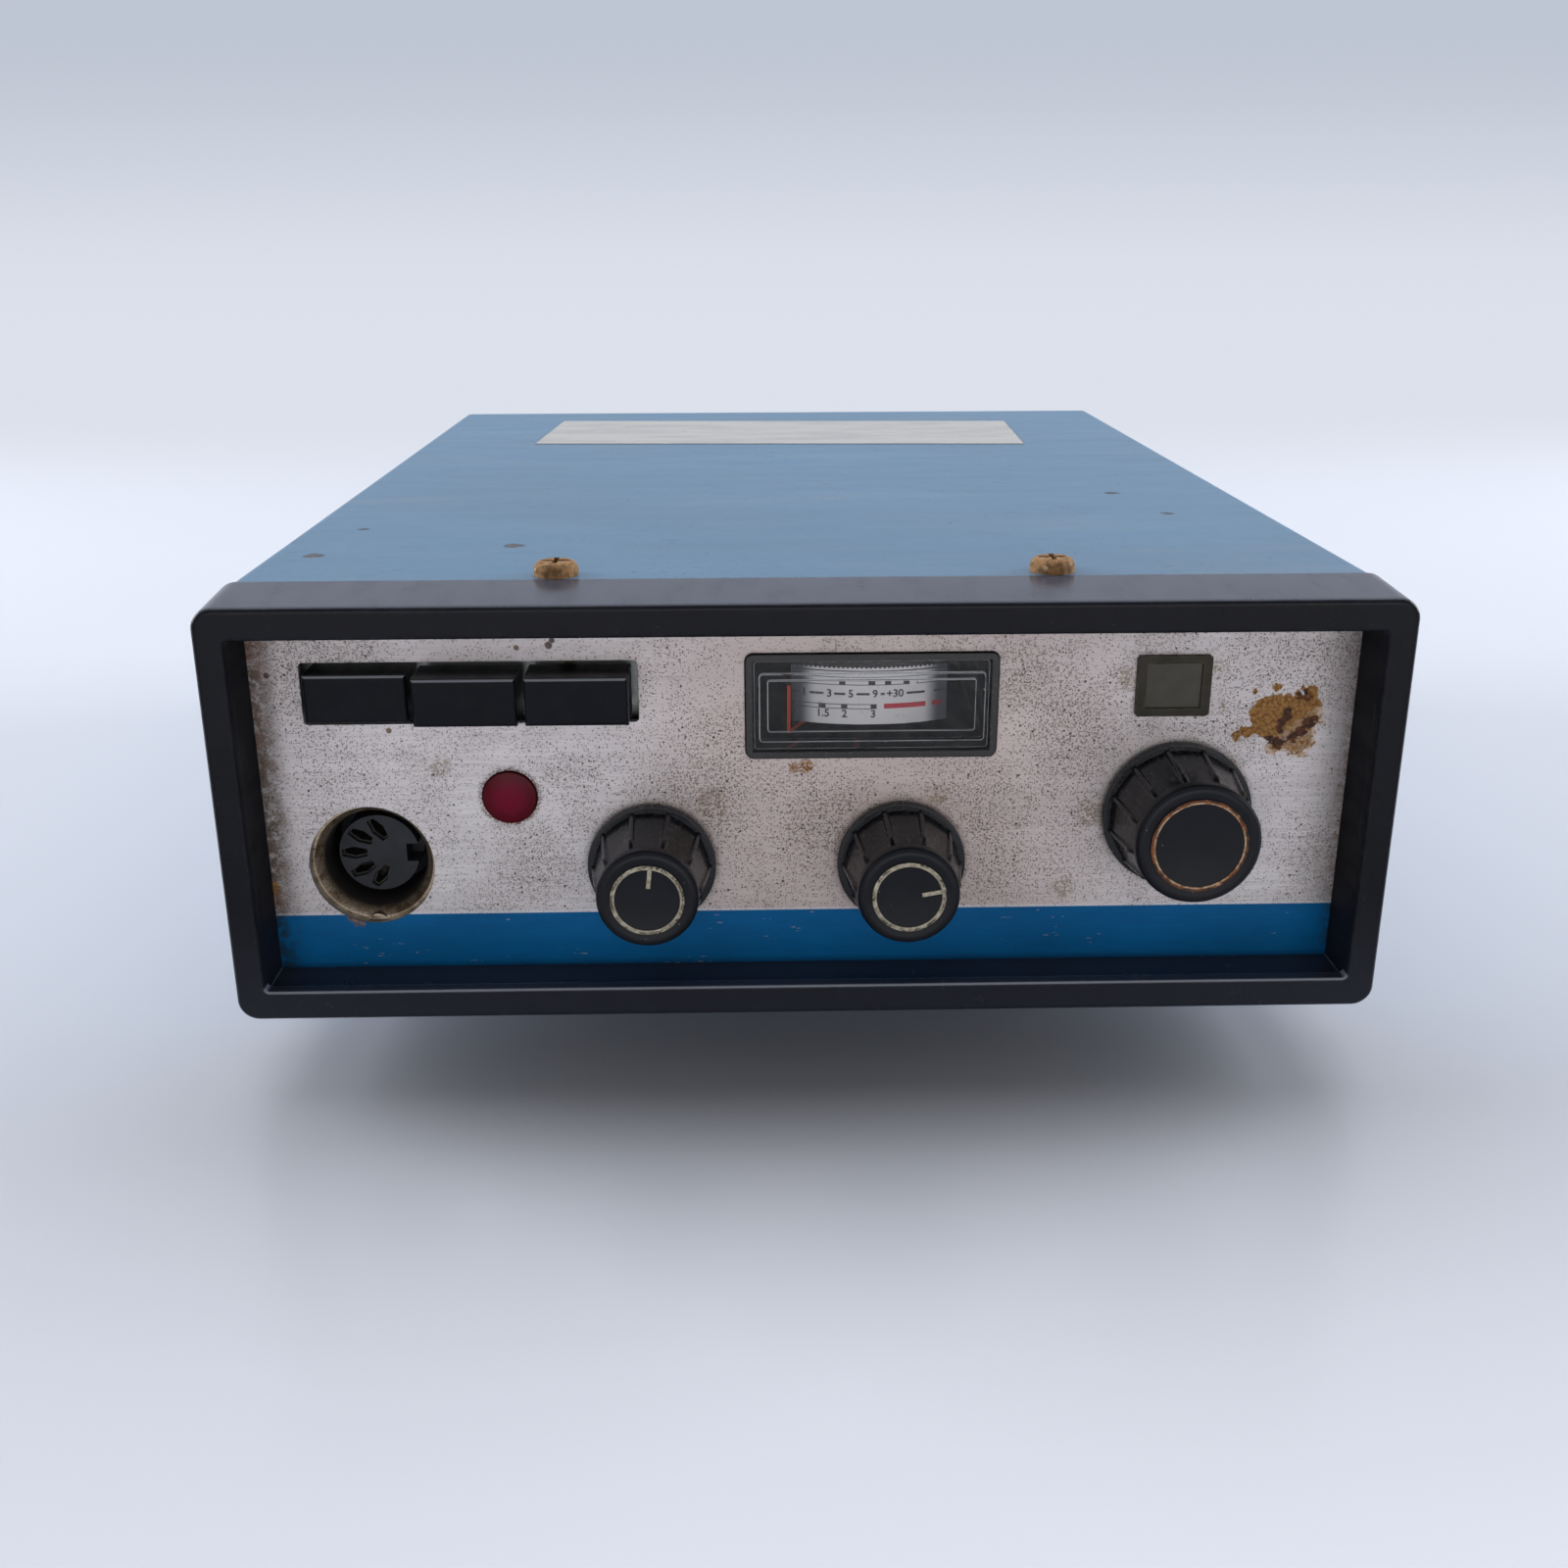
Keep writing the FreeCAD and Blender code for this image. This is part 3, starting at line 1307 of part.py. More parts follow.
def make_heat_sink():
    """Finned heat sink on the rear panel, and the power transistors opposite it inside."""
    low = mid_height - heat_sink_height / 2
    high = mid_height + heat_sink_height / 2
    back = rear_panel_back
    pieces = [block(heat_sink_left, heat_sink_right, back, back + heat_sink_base, low, high)]
    pitch = (heat_sink_right - heat_sink_left - fin_thickness) / (fin_count - 1)
    for index in range(fin_count):
        x = heat_sink_left + index * pitch
        pieces.append(block(x, x + fin_thickness, back, back + heat_sink_depth, low, high))
    keep("heat_sink", joined(pieces))
    middle = (heat_sink_left + heat_sink_right) / 2
    transistors = []
    for side in (-1, 1):
        x = middle + side * transistor_spacing / 2
        transistors.append(block(x - transistor_width / 2, x + transistor_width / 2,
                                 rear_panel_front - transistor_depth, rear_panel_front,
                                 mid_height - transistor_height / 2, mid_height + transistor_height / 2))
    keep("power_transistors", transistors)


def antenna_screw_places():
    """Places of the four screws of the antenna socket's square flange."""
    half = antenna_hole_spacing / 2
    return [(antenna_x + a, antenna_height + b) for a in (-half, half) for b in (-half, half)]


def make_antenna_socket():
    """Coaxial antenna socket: flanged barrel, insulator and centre contact."""
    x, z = antenna_x, antenna_height
    back = rear_panel_back
    face = back + antenna_flange_thickness
    end = face + antenna_barrel_length
    tail = back - antenna_tail_length
    inner = antenna_barrel_radius - antenna_barrel_wall
    flange = rounded_plate(x, z, antenna_flange, antenna_flange, antenna_flange_corner, back, face)
    barrel = rod_y(x, z, tail, end, antenna_barrel_radius)
    cutters = [rod_y(x, z, tail - past, end + past, inner)]
    for screw_x, screw_z in antenna_screw_places():
        cutters.append(rod_y(screw_x, screw_z, back - past, face + past, pan_shank_radius))
    keep("antenna_socket", without(joined([flange, barrel]), cutters))
    insulator = rod_y(x, z, tail, end - antenna_insulator_setback, inner)
    keep("antenna_insulator", insulator.cut(rod_y(x, z, tail - past, end, antenna_contact_radius)))
    contact_end = end - antenna_contact_setback
    contact = rod_y(x, z, tail - antenna_tag_length, contact_end, antenna_contact_radius)
    contact = contact.cut(rod_y(x, z, contact_end - antenna_contact_bore_depth, end,
                                antenna_contact_bore))
    keep("antenna_contact", contact)


def make_power_inlet():
    """Two-pole supply inlet: moulded body with a deep socket, and its pins."""
    x, z = inlet_x, inlet_height
    back = rear_panel_back
    face = back + inlet_flange_thickness
    rear = face - inlet_body_depth
    half_across, half_up = inlet_body_width / 2, inlet_body_height / 2
    flange = rounded_plate(x, z, inlet_flange_width, inlet_flange_height, inlet_flange_corner, back, face)
    body = block(x - half_across, x + half_across, rear, back + root, z - half_up, z + half_up)
    hollow = block(x - half_across + inlet_wall, x + half_across - inlet_wall,
                   rear + inlet_floor, face + past,
                   z - half_up + inlet_wall, z + half_up - inlet_wall)
    pins = []
    for side in (-1, 1):
        pins.append(rod_y(x + side * inlet_pin_spacing / 2, z, rear - inlet_tag_length,
                          face - inlet_pin_setback, inlet_pin_radius))
    keep("power_inlet", without(joined([flange, body]), [hollow] + pins))
    keep("power_pins", pins)


def make_speaker_jack():
    """Small jack for an outside loudspeaker: body, bush through the panel, and its ring nut."""
    x, z = inlet_x, jack_height
    front, back = rear_panel_front, rear_panel_back
    end = back + jack_bush_proud
    half = jack_body_width / 2
    body = block(x - half, x + half, front - jack_body_depth, front, z - half, z + half)
    bush = rod_y(x, z, front - root, end, jack_bush_radius)
    bore = rod_y(x, z, front - jack_body_depth + jack_floor, end + past, jack_bore_radius)
    keep("speaker_jack", joined([body, bush]).cut(bore))
    nut = rod_y(x, z, back, back + jack_nut_thickness, jack_nut_radius)
    nut = nut.makeFillet(nut_corner_cut, edges_at_depth(nut, back + jack_nut_thickness))
    keep("jack_nut", nut.cut(rod_y(x, z, back - past, end, jack_bush_radius)))


os.makedirs("parts", exist_ok=True)
make_front_frame()
make_front_panel()
make_chassis()
make_covers()
make_case_fasteners()
make_bracket_inserts()
make_feet()
make_label()
make_small_controls()
make_channel_selector()
make_control_nuts()
make_keys()
make_meter()
make_alarm_lamp()
make_channel_window()
make_microphone_socket()
make_speaker()
make_board()
make_board_parts()
make_inner_screws()
make_rear_panel()
make_heat_sink()
make_antenna_socket()
make_power_inlet()
make_speaker_jack()
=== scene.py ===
"""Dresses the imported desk-top two-way radio: its finishes, knobs, meter print, studio and camera.

Lengths are in millimetres, and in metres only where Blender is handed a value.
"""

import logging
import math
from dataclasses import dataclass, field
from enum import Enum
from functools import reduce
from typing import Any, Dict, List, Optional, Sequence, Tuple, Union

import bpy
import numpy as np
from mathutils import Matrix, Vector


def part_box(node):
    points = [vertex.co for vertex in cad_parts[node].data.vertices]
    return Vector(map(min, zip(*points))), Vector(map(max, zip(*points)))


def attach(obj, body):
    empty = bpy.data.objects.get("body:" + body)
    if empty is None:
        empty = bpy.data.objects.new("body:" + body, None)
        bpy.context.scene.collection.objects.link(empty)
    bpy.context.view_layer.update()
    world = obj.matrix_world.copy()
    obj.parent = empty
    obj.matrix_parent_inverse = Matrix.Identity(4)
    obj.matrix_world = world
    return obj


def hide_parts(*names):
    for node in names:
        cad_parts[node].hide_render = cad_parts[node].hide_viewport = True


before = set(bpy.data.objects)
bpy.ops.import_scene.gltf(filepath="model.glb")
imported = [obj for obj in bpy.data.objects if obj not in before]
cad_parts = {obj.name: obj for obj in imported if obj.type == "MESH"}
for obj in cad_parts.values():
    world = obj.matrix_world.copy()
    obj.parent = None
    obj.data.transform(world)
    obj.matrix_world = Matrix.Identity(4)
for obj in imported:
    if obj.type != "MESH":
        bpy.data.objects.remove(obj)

MM = 0.001
PER_METRE = 1000.0
FAR = 1000.0
SHARP_EDGE = math.radians(35.0)
LOG = logging.getLogger("radio")
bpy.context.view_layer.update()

Node = bpy.types.Node
Material = bpy.types.Material
Piece = bpy.types.Object
Colour = Tuple[float, float, float]
Spot = Tuple[float, float, float]
Bars = Tuple[Tuple[float, float, Tuple[Tuple[float, float], ...]], ...]
Operand = Union["Shade", float, Sequence[float]]
Sockets = Dict[Union[int, str], Operand]


class Body(Enum):
    """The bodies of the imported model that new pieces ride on."""

    RADIO = "radio"
    VOLUME = "volume_control"
    SQUELCH = "squelch_control"
    CHANNEL = "channel_selector"


class Maths(Enum):
    """Operations of Blender's Math node that the finishes use."""

    ADD = "ADD"
    SUBTRACT = "SUBTRACT"
    MULTIPLY = "MULTIPLY"
    LARGER = "MAXIMUM"
    SMALLER = "MINIMUM"
    SIZE = "ABSOLUTE"
    ROOT = "SQRT"
    TRIANGLE = "PINGPONG"


class Along(Enum):
    """The way a brushed or drawn grain runs, as how much X is squeezed for it."""

    X = 0.035
    NONE = 1.0


class Plane(Enum):
    """The side of the object that a spot is on, as the two axes that run along it."""

    FRONT = (0, 2)
    TOP = (0, 1)


def rgb(red: int, green: int, blue: int) -> Colour:
    """Turns a colour as a screen shows it into the linear values that a shader takes.

    Args:
        red, green, blue: Screen values from 0 to 255.

    Returns:
        The three linear values.
    """
    shown = np.array([red, green, blue]) / 255.0
    linear = np.where(shown <= 0.04045, shown / 12.92, ((shown + 0.055) / 1.055) ** 2.4)
    return tuple(float(value) for value in linear)


def faded(colour: Colour, share: float, lift: float = 0.0) -> Colour:
    """A colour times a share, with a little grey added."""
    return tuple(share * value + lift for value in colour)


@dataclass(frozen=True)
class Shade:
    """A value or colour on its way through a material, which can be used in plain arithmetic."""

    graph: "Graph"
    socket: bpy.types.NodeSocket

    def __add__(self, other: Operand) -> "Shade":
        """Sum."""
        return self.graph.maths(Maths.ADD, self, other)

    __radd__ = __add__

    def __sub__(self, other: Operand) -> "Shade":
        """Difference."""
        return self.graph.maths(Maths.SUBTRACT, self, other)

    def __rsub__(self, other: Operand) -> "Shade":
        """Difference, with the plain number first."""
        return self.graph.maths(Maths.SUBTRACT, other, self)

    def __mul__(self, other: Operand) -> "Shade":
        """Product."""
        return self.graph.maths(Maths.MULTIPLY, self, other)

    __rmul__ = __mul__

    def __or__(self, other: Operand) -> "Shade":
        """The larger of two masks."""
        return self.graph.maths(Maths.LARGER, self, other)

    def __and__(self, other: Operand) -> "Shade":
        """The smaller of two masks."""
        return self.graph.maths(Maths.SMALLER, self, other)

    def size(self) -> "Shade":
        """The value without its sign."""
        return self.graph.maths(Maths.SIZE, self)

    def rising(self, low: float, high: float) -> "Shade":
        """A mask that is 0 up to low, 1 from high on, and smooth between them."""
        return self.graph.shade("MapRange", {0: self, 1: low, 2: high, 3: 0.0, 4: 1.0},
                                interpolation_type="SMOOTHSTEP")

    def falling(self, low: float, high: float) -> "Shade":
        """A mask that is 1 up to low, 0 from high on, and smooth between them."""
        return 1.0 - self.rising(low, high)


class Graph:
    """One material being built, or the room's light, with its nodes and its coordinates."""

    def __init__(self, name: str, room: bool = False) -> None:
        """Starts an empty tree.

        Args:
            name: The finish in a maker's words.
            room: Whether it is the room's light.
        """
        self.made = (bpy.data.worlds if room else bpy.data.materials).new(name)
        self.made.use_nodes = True
        self.tree = self.made.node_tree
        self.tree.nodes.clear()
        self.exit = self.node("OutputWorld" if room else "OutputMaterial")
        self.places = self.node("TexCoord")
        self.point = Shade(self, self.places.outputs["Object"])
        self.axes: Dict[int, Shade] = {}

    def node(self, kind: str, sockets: Optional[Sockets] = None, **settings: Any) -> Node:
        """Adds any node: its settings are made first, and then its sockets are set or linked.

        Args:
            kind: The node's type, without the words that all shader nodes start with.
            sockets: Numbers, colours or links, by the socket's name or number.
            settings: Attributes of the node.

        Returns:
            The node.
        """
        made = self.tree.nodes.new("ShaderNode" + kind)
        for name, value in settings.items():
            setattr(made, name, value)
        for name, value in (sockets or {}).items():
            socket = made.inputs[name]
            if isinstance(value, Shade):
                self.tree.links.new(value.socket, socket)
            elif isinstance(value, tuple) and len(value) < len(socket.default_value):
                socket.default_value = (*value, 1.0)
            else:
                socket.default_value = value
        return made

    def shade(self, kind: str, sockets: Optional[Sockets] = None, output: Union[int, str] = 0,
              **settings: Any) -> Shade:
        """Adds any node and gives one of its outputs, ready for arithmetic."""
        return Shade(self, self.node(kind, sockets, **settings).outputs[output])

    def maths(self, operation: Maths, *values: Operand) -> Shade:
        """Adds one Math node over some values, in order."""
        return self.shade("Math", dict(enumerate(values)), operation=operation.value)

    def part(self, vector: Shade, index: int) -> Shade:
        """One part of a place, direction or colour."""
        return self.shade("SeparateXYZ", {0: vector}, index)

    def axis(self, index: int) -> Shade:
        """One coordinate of the surface, in millimetres."""
        if index not in self.axes:
            self.axes[index] = self.part(self.point, index) * PER_METRE
        return self.axes[index]

    def facing(self, index: int) -> Shade:
        """One part of the surface's own direction, which turns with the piece."""
        return self.part(Shade(self, self.places.outputs["Normal"]), index)

    def noise(self, size: float, detail: float = 2.0, shift: float = 0.0, roughness: float = 0.55,
              x: float = 1.0, y: float = 1.0) -> Shade:
        """Cloudy noise whose patches are about a given size.

        Args:
            size: Patch size in millimetres.
            detail: How many finer layers it has.
            shift: Moves the pattern, so that two noises of one size differ.
            roughness: How strong the finer layers are.
            x, y: How much the axis is squeezed, which draws the patches out along it.

        Returns:
            The noise, about 0.5 on average.
        """
        places = self.shade("Mapping", {0: self.point, "Location": (shift,) * 3, "Scale": (x, y, 1.0)})
        return self.shade("TexNoise", {"Vector": places, "Scale": PER_METRE / size, "Detail": detail,
                                       "Roughness": roughness})

    def cells(self, size: float) -> Shade:
        """Distance from the middle of the nearest of many scattered cells, as a share of a cell."""
        return self.shade("TexVoronoi", {"Vector": self.point, "Scale": PER_METRE / size})

    def specks(self, size: float, share: Operand, reach: float) -> Shade:
        """Small round dots, some of which are left out.

        A dot is where the distance from the middle of a scattered cell is under reach, and it is
        there where the cell's own random number is under share.

        Args:
            size: The cells' size in millimetres.
            share: How many of the cells hold a dot, from 0 to 1.
            reach: A dot's radius as a share of the cell's size.

        Returns:
            The mask.
        """
        near = self.cells(size)
        chance = self.part(Shade(self, near.socket.node.outputs["Color"]), 0)
        return near.falling(0.6 * reach, reach) * (share - chance).rising(0.0, 0.06)

    def distance(self, place: Sequence[float], plane: Plane = Plane.FRONT) -> Shade:
        """Distance from a place, seen square on: root(across^2 + up^2), in millimetres."""
        across, up = (self.axis(index) - value for index, value in zip(plane.value, place))
        return self.maths(Maths.ROOT, across * across + up * up)

    def spots(self, places: Sequence[Spot], softness: float, rough: Optional[Shade] = None,
              plane: Plane = Plane.FRONT) -> Shade:
        """Some spots as one mask: 1 inside each, 0 outside, and smooth across the rim.

        Args:
            places: The two coordinates of each spot's middle, and its radius.
            softness: Half the width of a rim.
            rough: A length that is added to the distance, which frays the rims.
            plane: The side of the object that the spots are on.

        Returns:
            The mask.
        """
        masks = []
        for *place, radius in places:
            out = self.distance(place, plane)
            out = out if rough is None else out + rough
            masks.append(out.falling(radius - softness, radius + softness))
        return reduce(Shade.__or__, masks)

    def ragged(self, size: float, reach: float, shift: float = 0.0) -> Shade:
        """A length that swings between about -reach and reach in patches of a given size."""
        return (self.noise(size, 5.0, shift, 0.6) - 0.5) * (3.0 * reach)

    def mixed(self, factor: Operand, low: Operand, high: Operand) -> Shade:
        """A colour that goes from low to high as the factor goes from 0 to 1."""
        return self.shade("Mix", {0: factor, 6: low, 7: high}, 2, data_type="RGBA")

    def layers(self, colour: Operand, *coats: Tuple[Operand, Operand]) -> Shade:
        """Lays colours over a first one, each as strongly as its mask says.

        Args:
            colour: The first colour.
            coats: The mask and colour of each coat, in order.

        Returns:
            The colour on top.
        """
        for mask, coat in coats:
            colour = self.mixed(mask, colour, coat)
        return colour

    def rounded(self, radius: float) -> Shade:
        """The surface's direction with its sharp edges rounded off, in looks only."""
        return self.shade("Bevel", {"Radius": radius * MM}, samples=6)

    def edges(self, radius: float) -> Shade:
        """A mask along sharp edges: 1 - (rounded direction . true direction), made stronger."""
        product = self.shade("VectorMath", {0: self.rounded(radius), 1: self.shade(
            "NewGeometry", output="True Normal")}, "Value", operation="DOT_PRODUCT")
        return (1.0 - product).rising(0.01, 0.12)

    def bumped(self, height: Shade, depth: float, edge: float = 0.0) -> Shade:
        """The surface's direction over hills and hollows of a given depth, with rounded edges."""
        normal = {"Normal": self.rounded(edge)} if edge else {}
        return self.shade("Bump", {"Height": height, "Distance": depth * MM, "Strength": 1.0, **normal})

    def plastic(self, **sockets: Operand) -> Node:
        """The main shader, whose sockets are named with underscores for spaces."""
        return self.node("BsdfPrincipled",
                         {key.replace("_", " "): value for key, value in sockets.items()})

    def blended(self, factor: Shade, low: Node, high: Node) -> Node:
        """A shader that goes from low to high as the factor goes from 0 to 1."""
        low, high = (Shade(self, shader.outputs[0]) for shader in (low, high))
        return self.node("MixShader", {0: factor, 1: low, 2: high})

    def rays(self, *names: str) -> Shade:
        """A mask that is 1 for light paths of the named kinds."""
        path = self.node("LightPath")
        return reduce(Shade.__or__, [Shade(self, path.outputs[name]) for name in names])

    def done(self, shader: Node) -> Union[Material, bpy.types.World]:
        """Sends a shader to the way out and gives what was made."""
        self.tree.links.new(shader.outputs[0], self.exit.inputs["Surface"])
        return self.made


@dataclass(frozen=True)
class Moulding:
    """Moulded plastic or rubber: fine grain, a colour that drifts, dust on top, greyed edges, and where
    asked a painted sheen and a painted highlight line.
    """

    name: str
    colour: Colour
    roughness: float = 0.35
    grain_size: float = 0.5
    grain_depth: float = 0.004
    edge: float = 0.2
    dust: float = 0.25
    dust_colour: Colour = rgb(126, 122, 116)
    wear_and_highlight_colour: Colour = rgb(92, 96, 104)
    wear: float = 0.35
    scuffing: float = 0.22
    gloss: float = 0.5
    painted_rim_highlight: float = 0.0
    rim_below: float = FAR
    rim_round: bool = False
    painted_sheen: float = 0.0
    painted_sheen_colour: Colour = rgb(76, 80, 94)
    dull_beyond: float = FAR

    def make(self) -> Material:
        """Builds the material.

        The painted rim highlight is a bright line painted along edges that point upwards, below a given
        height. On an edge that is round in the mesh it is where the surface itself points half upwards.
        The painted sheen is a paler bluish grey painted on faces that point up and, with the rim
        highlight, more weakly low on the piece.

        Returns:
            The material.
        """
        graph = Graph(self.name)
        upward = graph.facing(2)
        patches = graph.noise(2.6, 6.0, 3.0).rising(0.44, 0.68)
        motes = graph.cells(0.9).falling(0.05, 0.17) * graph.noise(5.0, 2.0, 8.0).rising(0.45, 0.6)
        dust = ((upward.rising(0.2, 0.95) * 0.8 + 0.2) * patches | motes * 0.7) * self.dust
        coats = [(graph.noise(9.0, 3.0).rising(0.3, 0.7), faded(self.colour, 0.7)),
                 (dust, self.dust_colour)]
        # painted sheen: a paler bluish grey painted on faces that point up
        if self.painted_sheen:
            coats.append((upward.rising(0.6, 0.95) * self.painted_sheen, self.painted_sheen_colour))
        pale_edges = graph.edges(1.6 * self.edge) * graph.noise(1.4, 4.0, 5.0).rising(0.42, 0.62) * self.wear
        coats.append((pale_edges, self.wear_and_highlight_colour))
        # painted highlight: a bright line along edges that point up, and painted sheen low on the piece
        if self.painted_rim_highlight:
            rim_highlight_mask = upward if self.rim_round else graph.part(graph.rounded(self.edge), 2)
            rim_highlight_mask = rim_highlight_mask.rising(0.2, 0.45) * rim_highlight_mask.falling(0.8, 0.97)
            below = graph.axis(2).falling(self.rim_below - 1.0, self.rim_below)
            low = graph.axis(2).falling(8.0, self.rim_below + 8.0)
            coats += [(low * self.painted_sheen * 0.35, self.painted_sheen_colour),
                      (rim_highlight_mask * below * self.painted_rim_highlight, self.wear_and_highlight_colour)]
        scuffs = graph.noise(3.2, 5.0, 9.0, y=0.25).rising(0.35, 0.75)
        dull = graph.axis(0).size().rising(self.dull_beyond - 0.4, self.dull_beyond)
        dull = dull * graph.facing(0).size().rising(0.6, 0.9)
        roughness = scuffs * self.scuffing + self.roughness + dull * 0.45
        return graph.done(graph.plastic(
            Base_Color=graph.layers(self.colour, *coats), Roughness=roughness + dust * 0.5,
            Specular_IOR_Level=self.gloss,
            Normal=graph.bumped(graph.noise(self.grain_size, 3.0), self.grain_depth, self.edge)))


@dataclass(frozen=True)
class KnobPlastic:
    """Black knob moulding: satin cap, pale streaking along the body that is handling marks and painted
    sheen, paler rib edges with a painted highlight, dirt by the flange.
    """

    name: str
    face: float
    back: float

    def make(self) -> Material:
        """Builds the material.

        Returns:
            The material.
        """
        graph = Graph(self.name)
        depth = graph.axis(1)
        body = depth.rising(self.face + 2.2, self.face + 2.7)
        low = depth.rising(self.back - 4.5, self.back - 0.4)
        upward = graph.facing(2).rising(0.05, 0.8)
        # pale streaking, stronger on faces that point up: handling marks and painted sheen
        streaks_and_sheen = graph.noise(0.45, 4.0, 3.0, y=0.1).rising(0.52, 0.7)
        streaks_and_sheen = streaks_and_sheen * graph.noise(3.2, 3.0, 7.0).rising(0.42, 0.6) * body * (upward * 0.8 + 0.2)
        dirt = graph.noise(0.6, 4.0, 4.0).rising(0.58, 0.7) * low
        # paler rib edges: rubbing and a painted highlight along the ribs
        pale_edges = graph.edges(0.3) * graph.noise(1.4, 3.0, 5.0).rising(0.26, 0.5) * (1.0 - low * 0.95)
        colour = graph.layers(
            rgb(13, 14, 20),
            (graph.noise(5.0, 3.0).rising(0.3, 0.7), rgb(19, 20, 27)),
            (streaks_and_sheen * 0.4, rgb(122, 124, 130)),
            (dirt * 0.35, rgb(86, 76, 62)),
            (graph.specks(0.8, body * 0.35 + 0.06, 0.14) * 0.6, rgb(160, 150, 136)),
            (pale_edges * (body * 0.4 + 0.2), rgb(124, 126, 134)))
        roughness = graph.noise(2.5, 4.0, 9.0) * 0.1 + 0.32 - body * 0.1 + dirt * 0.3
        return graph.done(graph.plastic(
            Base_Color=colour, Roughness=roughness, Specular_IOR_Level=0.2, Coat_Weight=body * 0.22,
            Coat_Roughness=0.12, Normal=graph.bumped(graph.noise(0.5, 3.0), 0.0015, 0.14)))


@dataclass(frozen=True)
class Enamel:
    """Sprayed steel sheet: even satin paint with scratches to the primer, pits and rubbed edges."""

    name: str
    colour: Colour
    top: float
    primer: Colour = rgb(48, 54, 60)
    rust: Colour = rgb(92, 70, 52)
    marks: Tuple[Spot, ...] = (
        (-45.1, -75.2, 1.6), (59.6, -28.2, 1.4), (64.5, -50.4, 1.1), (-74.8, -81.9, 1.6),
        (-72.0, -60.0, 1.0))

    def make(self) -> Material:
        """Builds the material.

        Returns:
            The material.
        """
        graph = Graph(self.name)
        places = graph.noise(16.0, 3.0, 6.0).rising(0.5, 0.62)
        hair = graph.noise(0.7, 2.0, 2.0, x=0.16).rising(0.67, 0.71) * places * 0.6
        chips = graph.cells(9.0).falling(0.02, 0.05) * graph.noise(20.0, 2.0, 7.0).rising(0.48, 0.58)
        rubbed = graph.edges(0.5) * graph.noise(3.0, 5.0, 1.0).rising(0.5, 0.6)
        specks = graph.noise(0.9, 2.0, 11.0).rising(0.68, 0.73) * places
        marked = graph.spots(self.marks, 0.35, graph.ragged(1.4, 0.9, 3.0), Plane.TOP)
        marked = marked * graph.axis(2).rising(self.top - 1.0, self.top - 0.5)
        bare = hair | chips | rubbed | specks * 0.8 | marked
        colour = graph.layers(
            self.colour,
            (graph.noise(38.0, 5.0, x=0.5).rising(0.32, 0.7), faded(self.colour, 0.84, 0.014)),
            (graph.noise(2.2, 6.0, 19.0).rising(0.36, 0.7) * 0.16, faded(self.colour, 0.6)),
            (graph.noise(14.0, 6.0, 4.0, x=0.25).rising(0.5, 0.8) * 0.22, rgb(136, 144, 156)),
            (bare * 0.85, graph.mixed(graph.noise(1.2, 3.0).rising(0.5, 0.6), self.primer, self.rust)))
        peel = graph.noise(0.8, 2.0) + graph.noise(5.0, 3.0) * 0.6 - bare * 1.6
        roughness = graph.noise(6.0, 4.0, x=0.3) * 0.2 + 0.34 + bare * 0.3
        return graph.done(graph.plastic(Base_Color=colour, Roughness=roughness,
                                        Normal=graph.bumped(peel, 0.01, 0.35)))


@dataclass(frozen=True)
class Metal:
    """Bare or plated metal: bright where clean, with tarnish in clouds and pits, and a grain."""

    name: str
    colour: Colour
    tarnish: Colour
    amount: float = 0.35
    roughness: float = 0.32
    grain: Along = Along.NONE
    cloud: float = 3.0
    depth: float = 0.006
    edge: float = 0.12

    def make(self) -> Material:
        """Builds the material.

        Returns:
            The material.
        """
        graph = Graph(self.name)
        low = 0.72 - 0.5 * self.amount
        clouds = graph.noise(self.cloud, 6.0, roughness=0.65).rising(low, low + 0.12)
        pits = graph.cells(0.7).falling(0.1, 0.28) * graph.noise(2.0, 3.0, 3.0).rising(low, low + 0.2)
        dirty = clouds | pits
        tone = graph.noise(0.35, 3.0, 1.0, x=self.grain.value)
        clean = graph.mixed(tone, self.colour, faded(self.colour, 0.8))
        stain = graph.mixed(graph.noise(0.8, 4.0, 2.0).rising(0.4, 0.62), self.tarnish,
                            faded(self.tarnish, 0.45))
        height = tone * 0.5 + graph.noise(0.6, 4.0, 6.0) * dirty
        return graph.done(graph.plastic(
            Base_Color=graph.mixed(dirty, clean, stain), Metallic=1.0 - dirty * 0.85,
            Roughness=self.roughness + dirty * 0.4, Normal=graph.bumped(height, self.depth, self.edge)))


@dataclass(frozen=True)
class InlayRing:
    """Brass ring let into a knob: a bright inner line, and dull or rusty metal outside it."""

    name: str
    centre: Sequence[float]
    inner: float
    bright: Colour
    dull: Colour
    dark: Colour
    share: float

    def make(self) -> Material:
        """Builds the material.

        Returns:
            The material.
        """
        graph = Graph(self.name)
        line = graph.distance(self.centre).falling(self.inner + 0.2, self.inner + 0.32)
        grains = graph.noise(0.32, 5.0, 2.0, 0.65)
        patches = graph.noise(1.6, 4.0, 5.0).rising(0.38, 0.6)
        dirty = (grains + patches * 0.14).rising(0.66 - 0.3 * self.share, 0.74 - 0.3 * self.share)
        dirty = dirty * (1.0 - line * 0.75)
        colour = graph.layers(
            self.bright,
            (graph.noise(0.8, 4.0, 8.0).rising(0.35, 0.65), self.dull),
            (dirty, graph.mixed(patches, self.dull, self.dark)))
        return graph.done(graph.plastic(
            Base_Color=colour, Metallic=0.75 - dirty * 0.7, Roughness=0.38 + dirty * 0.4,
            Normal=graph.bumped(grains, 0.012, 0.08)))


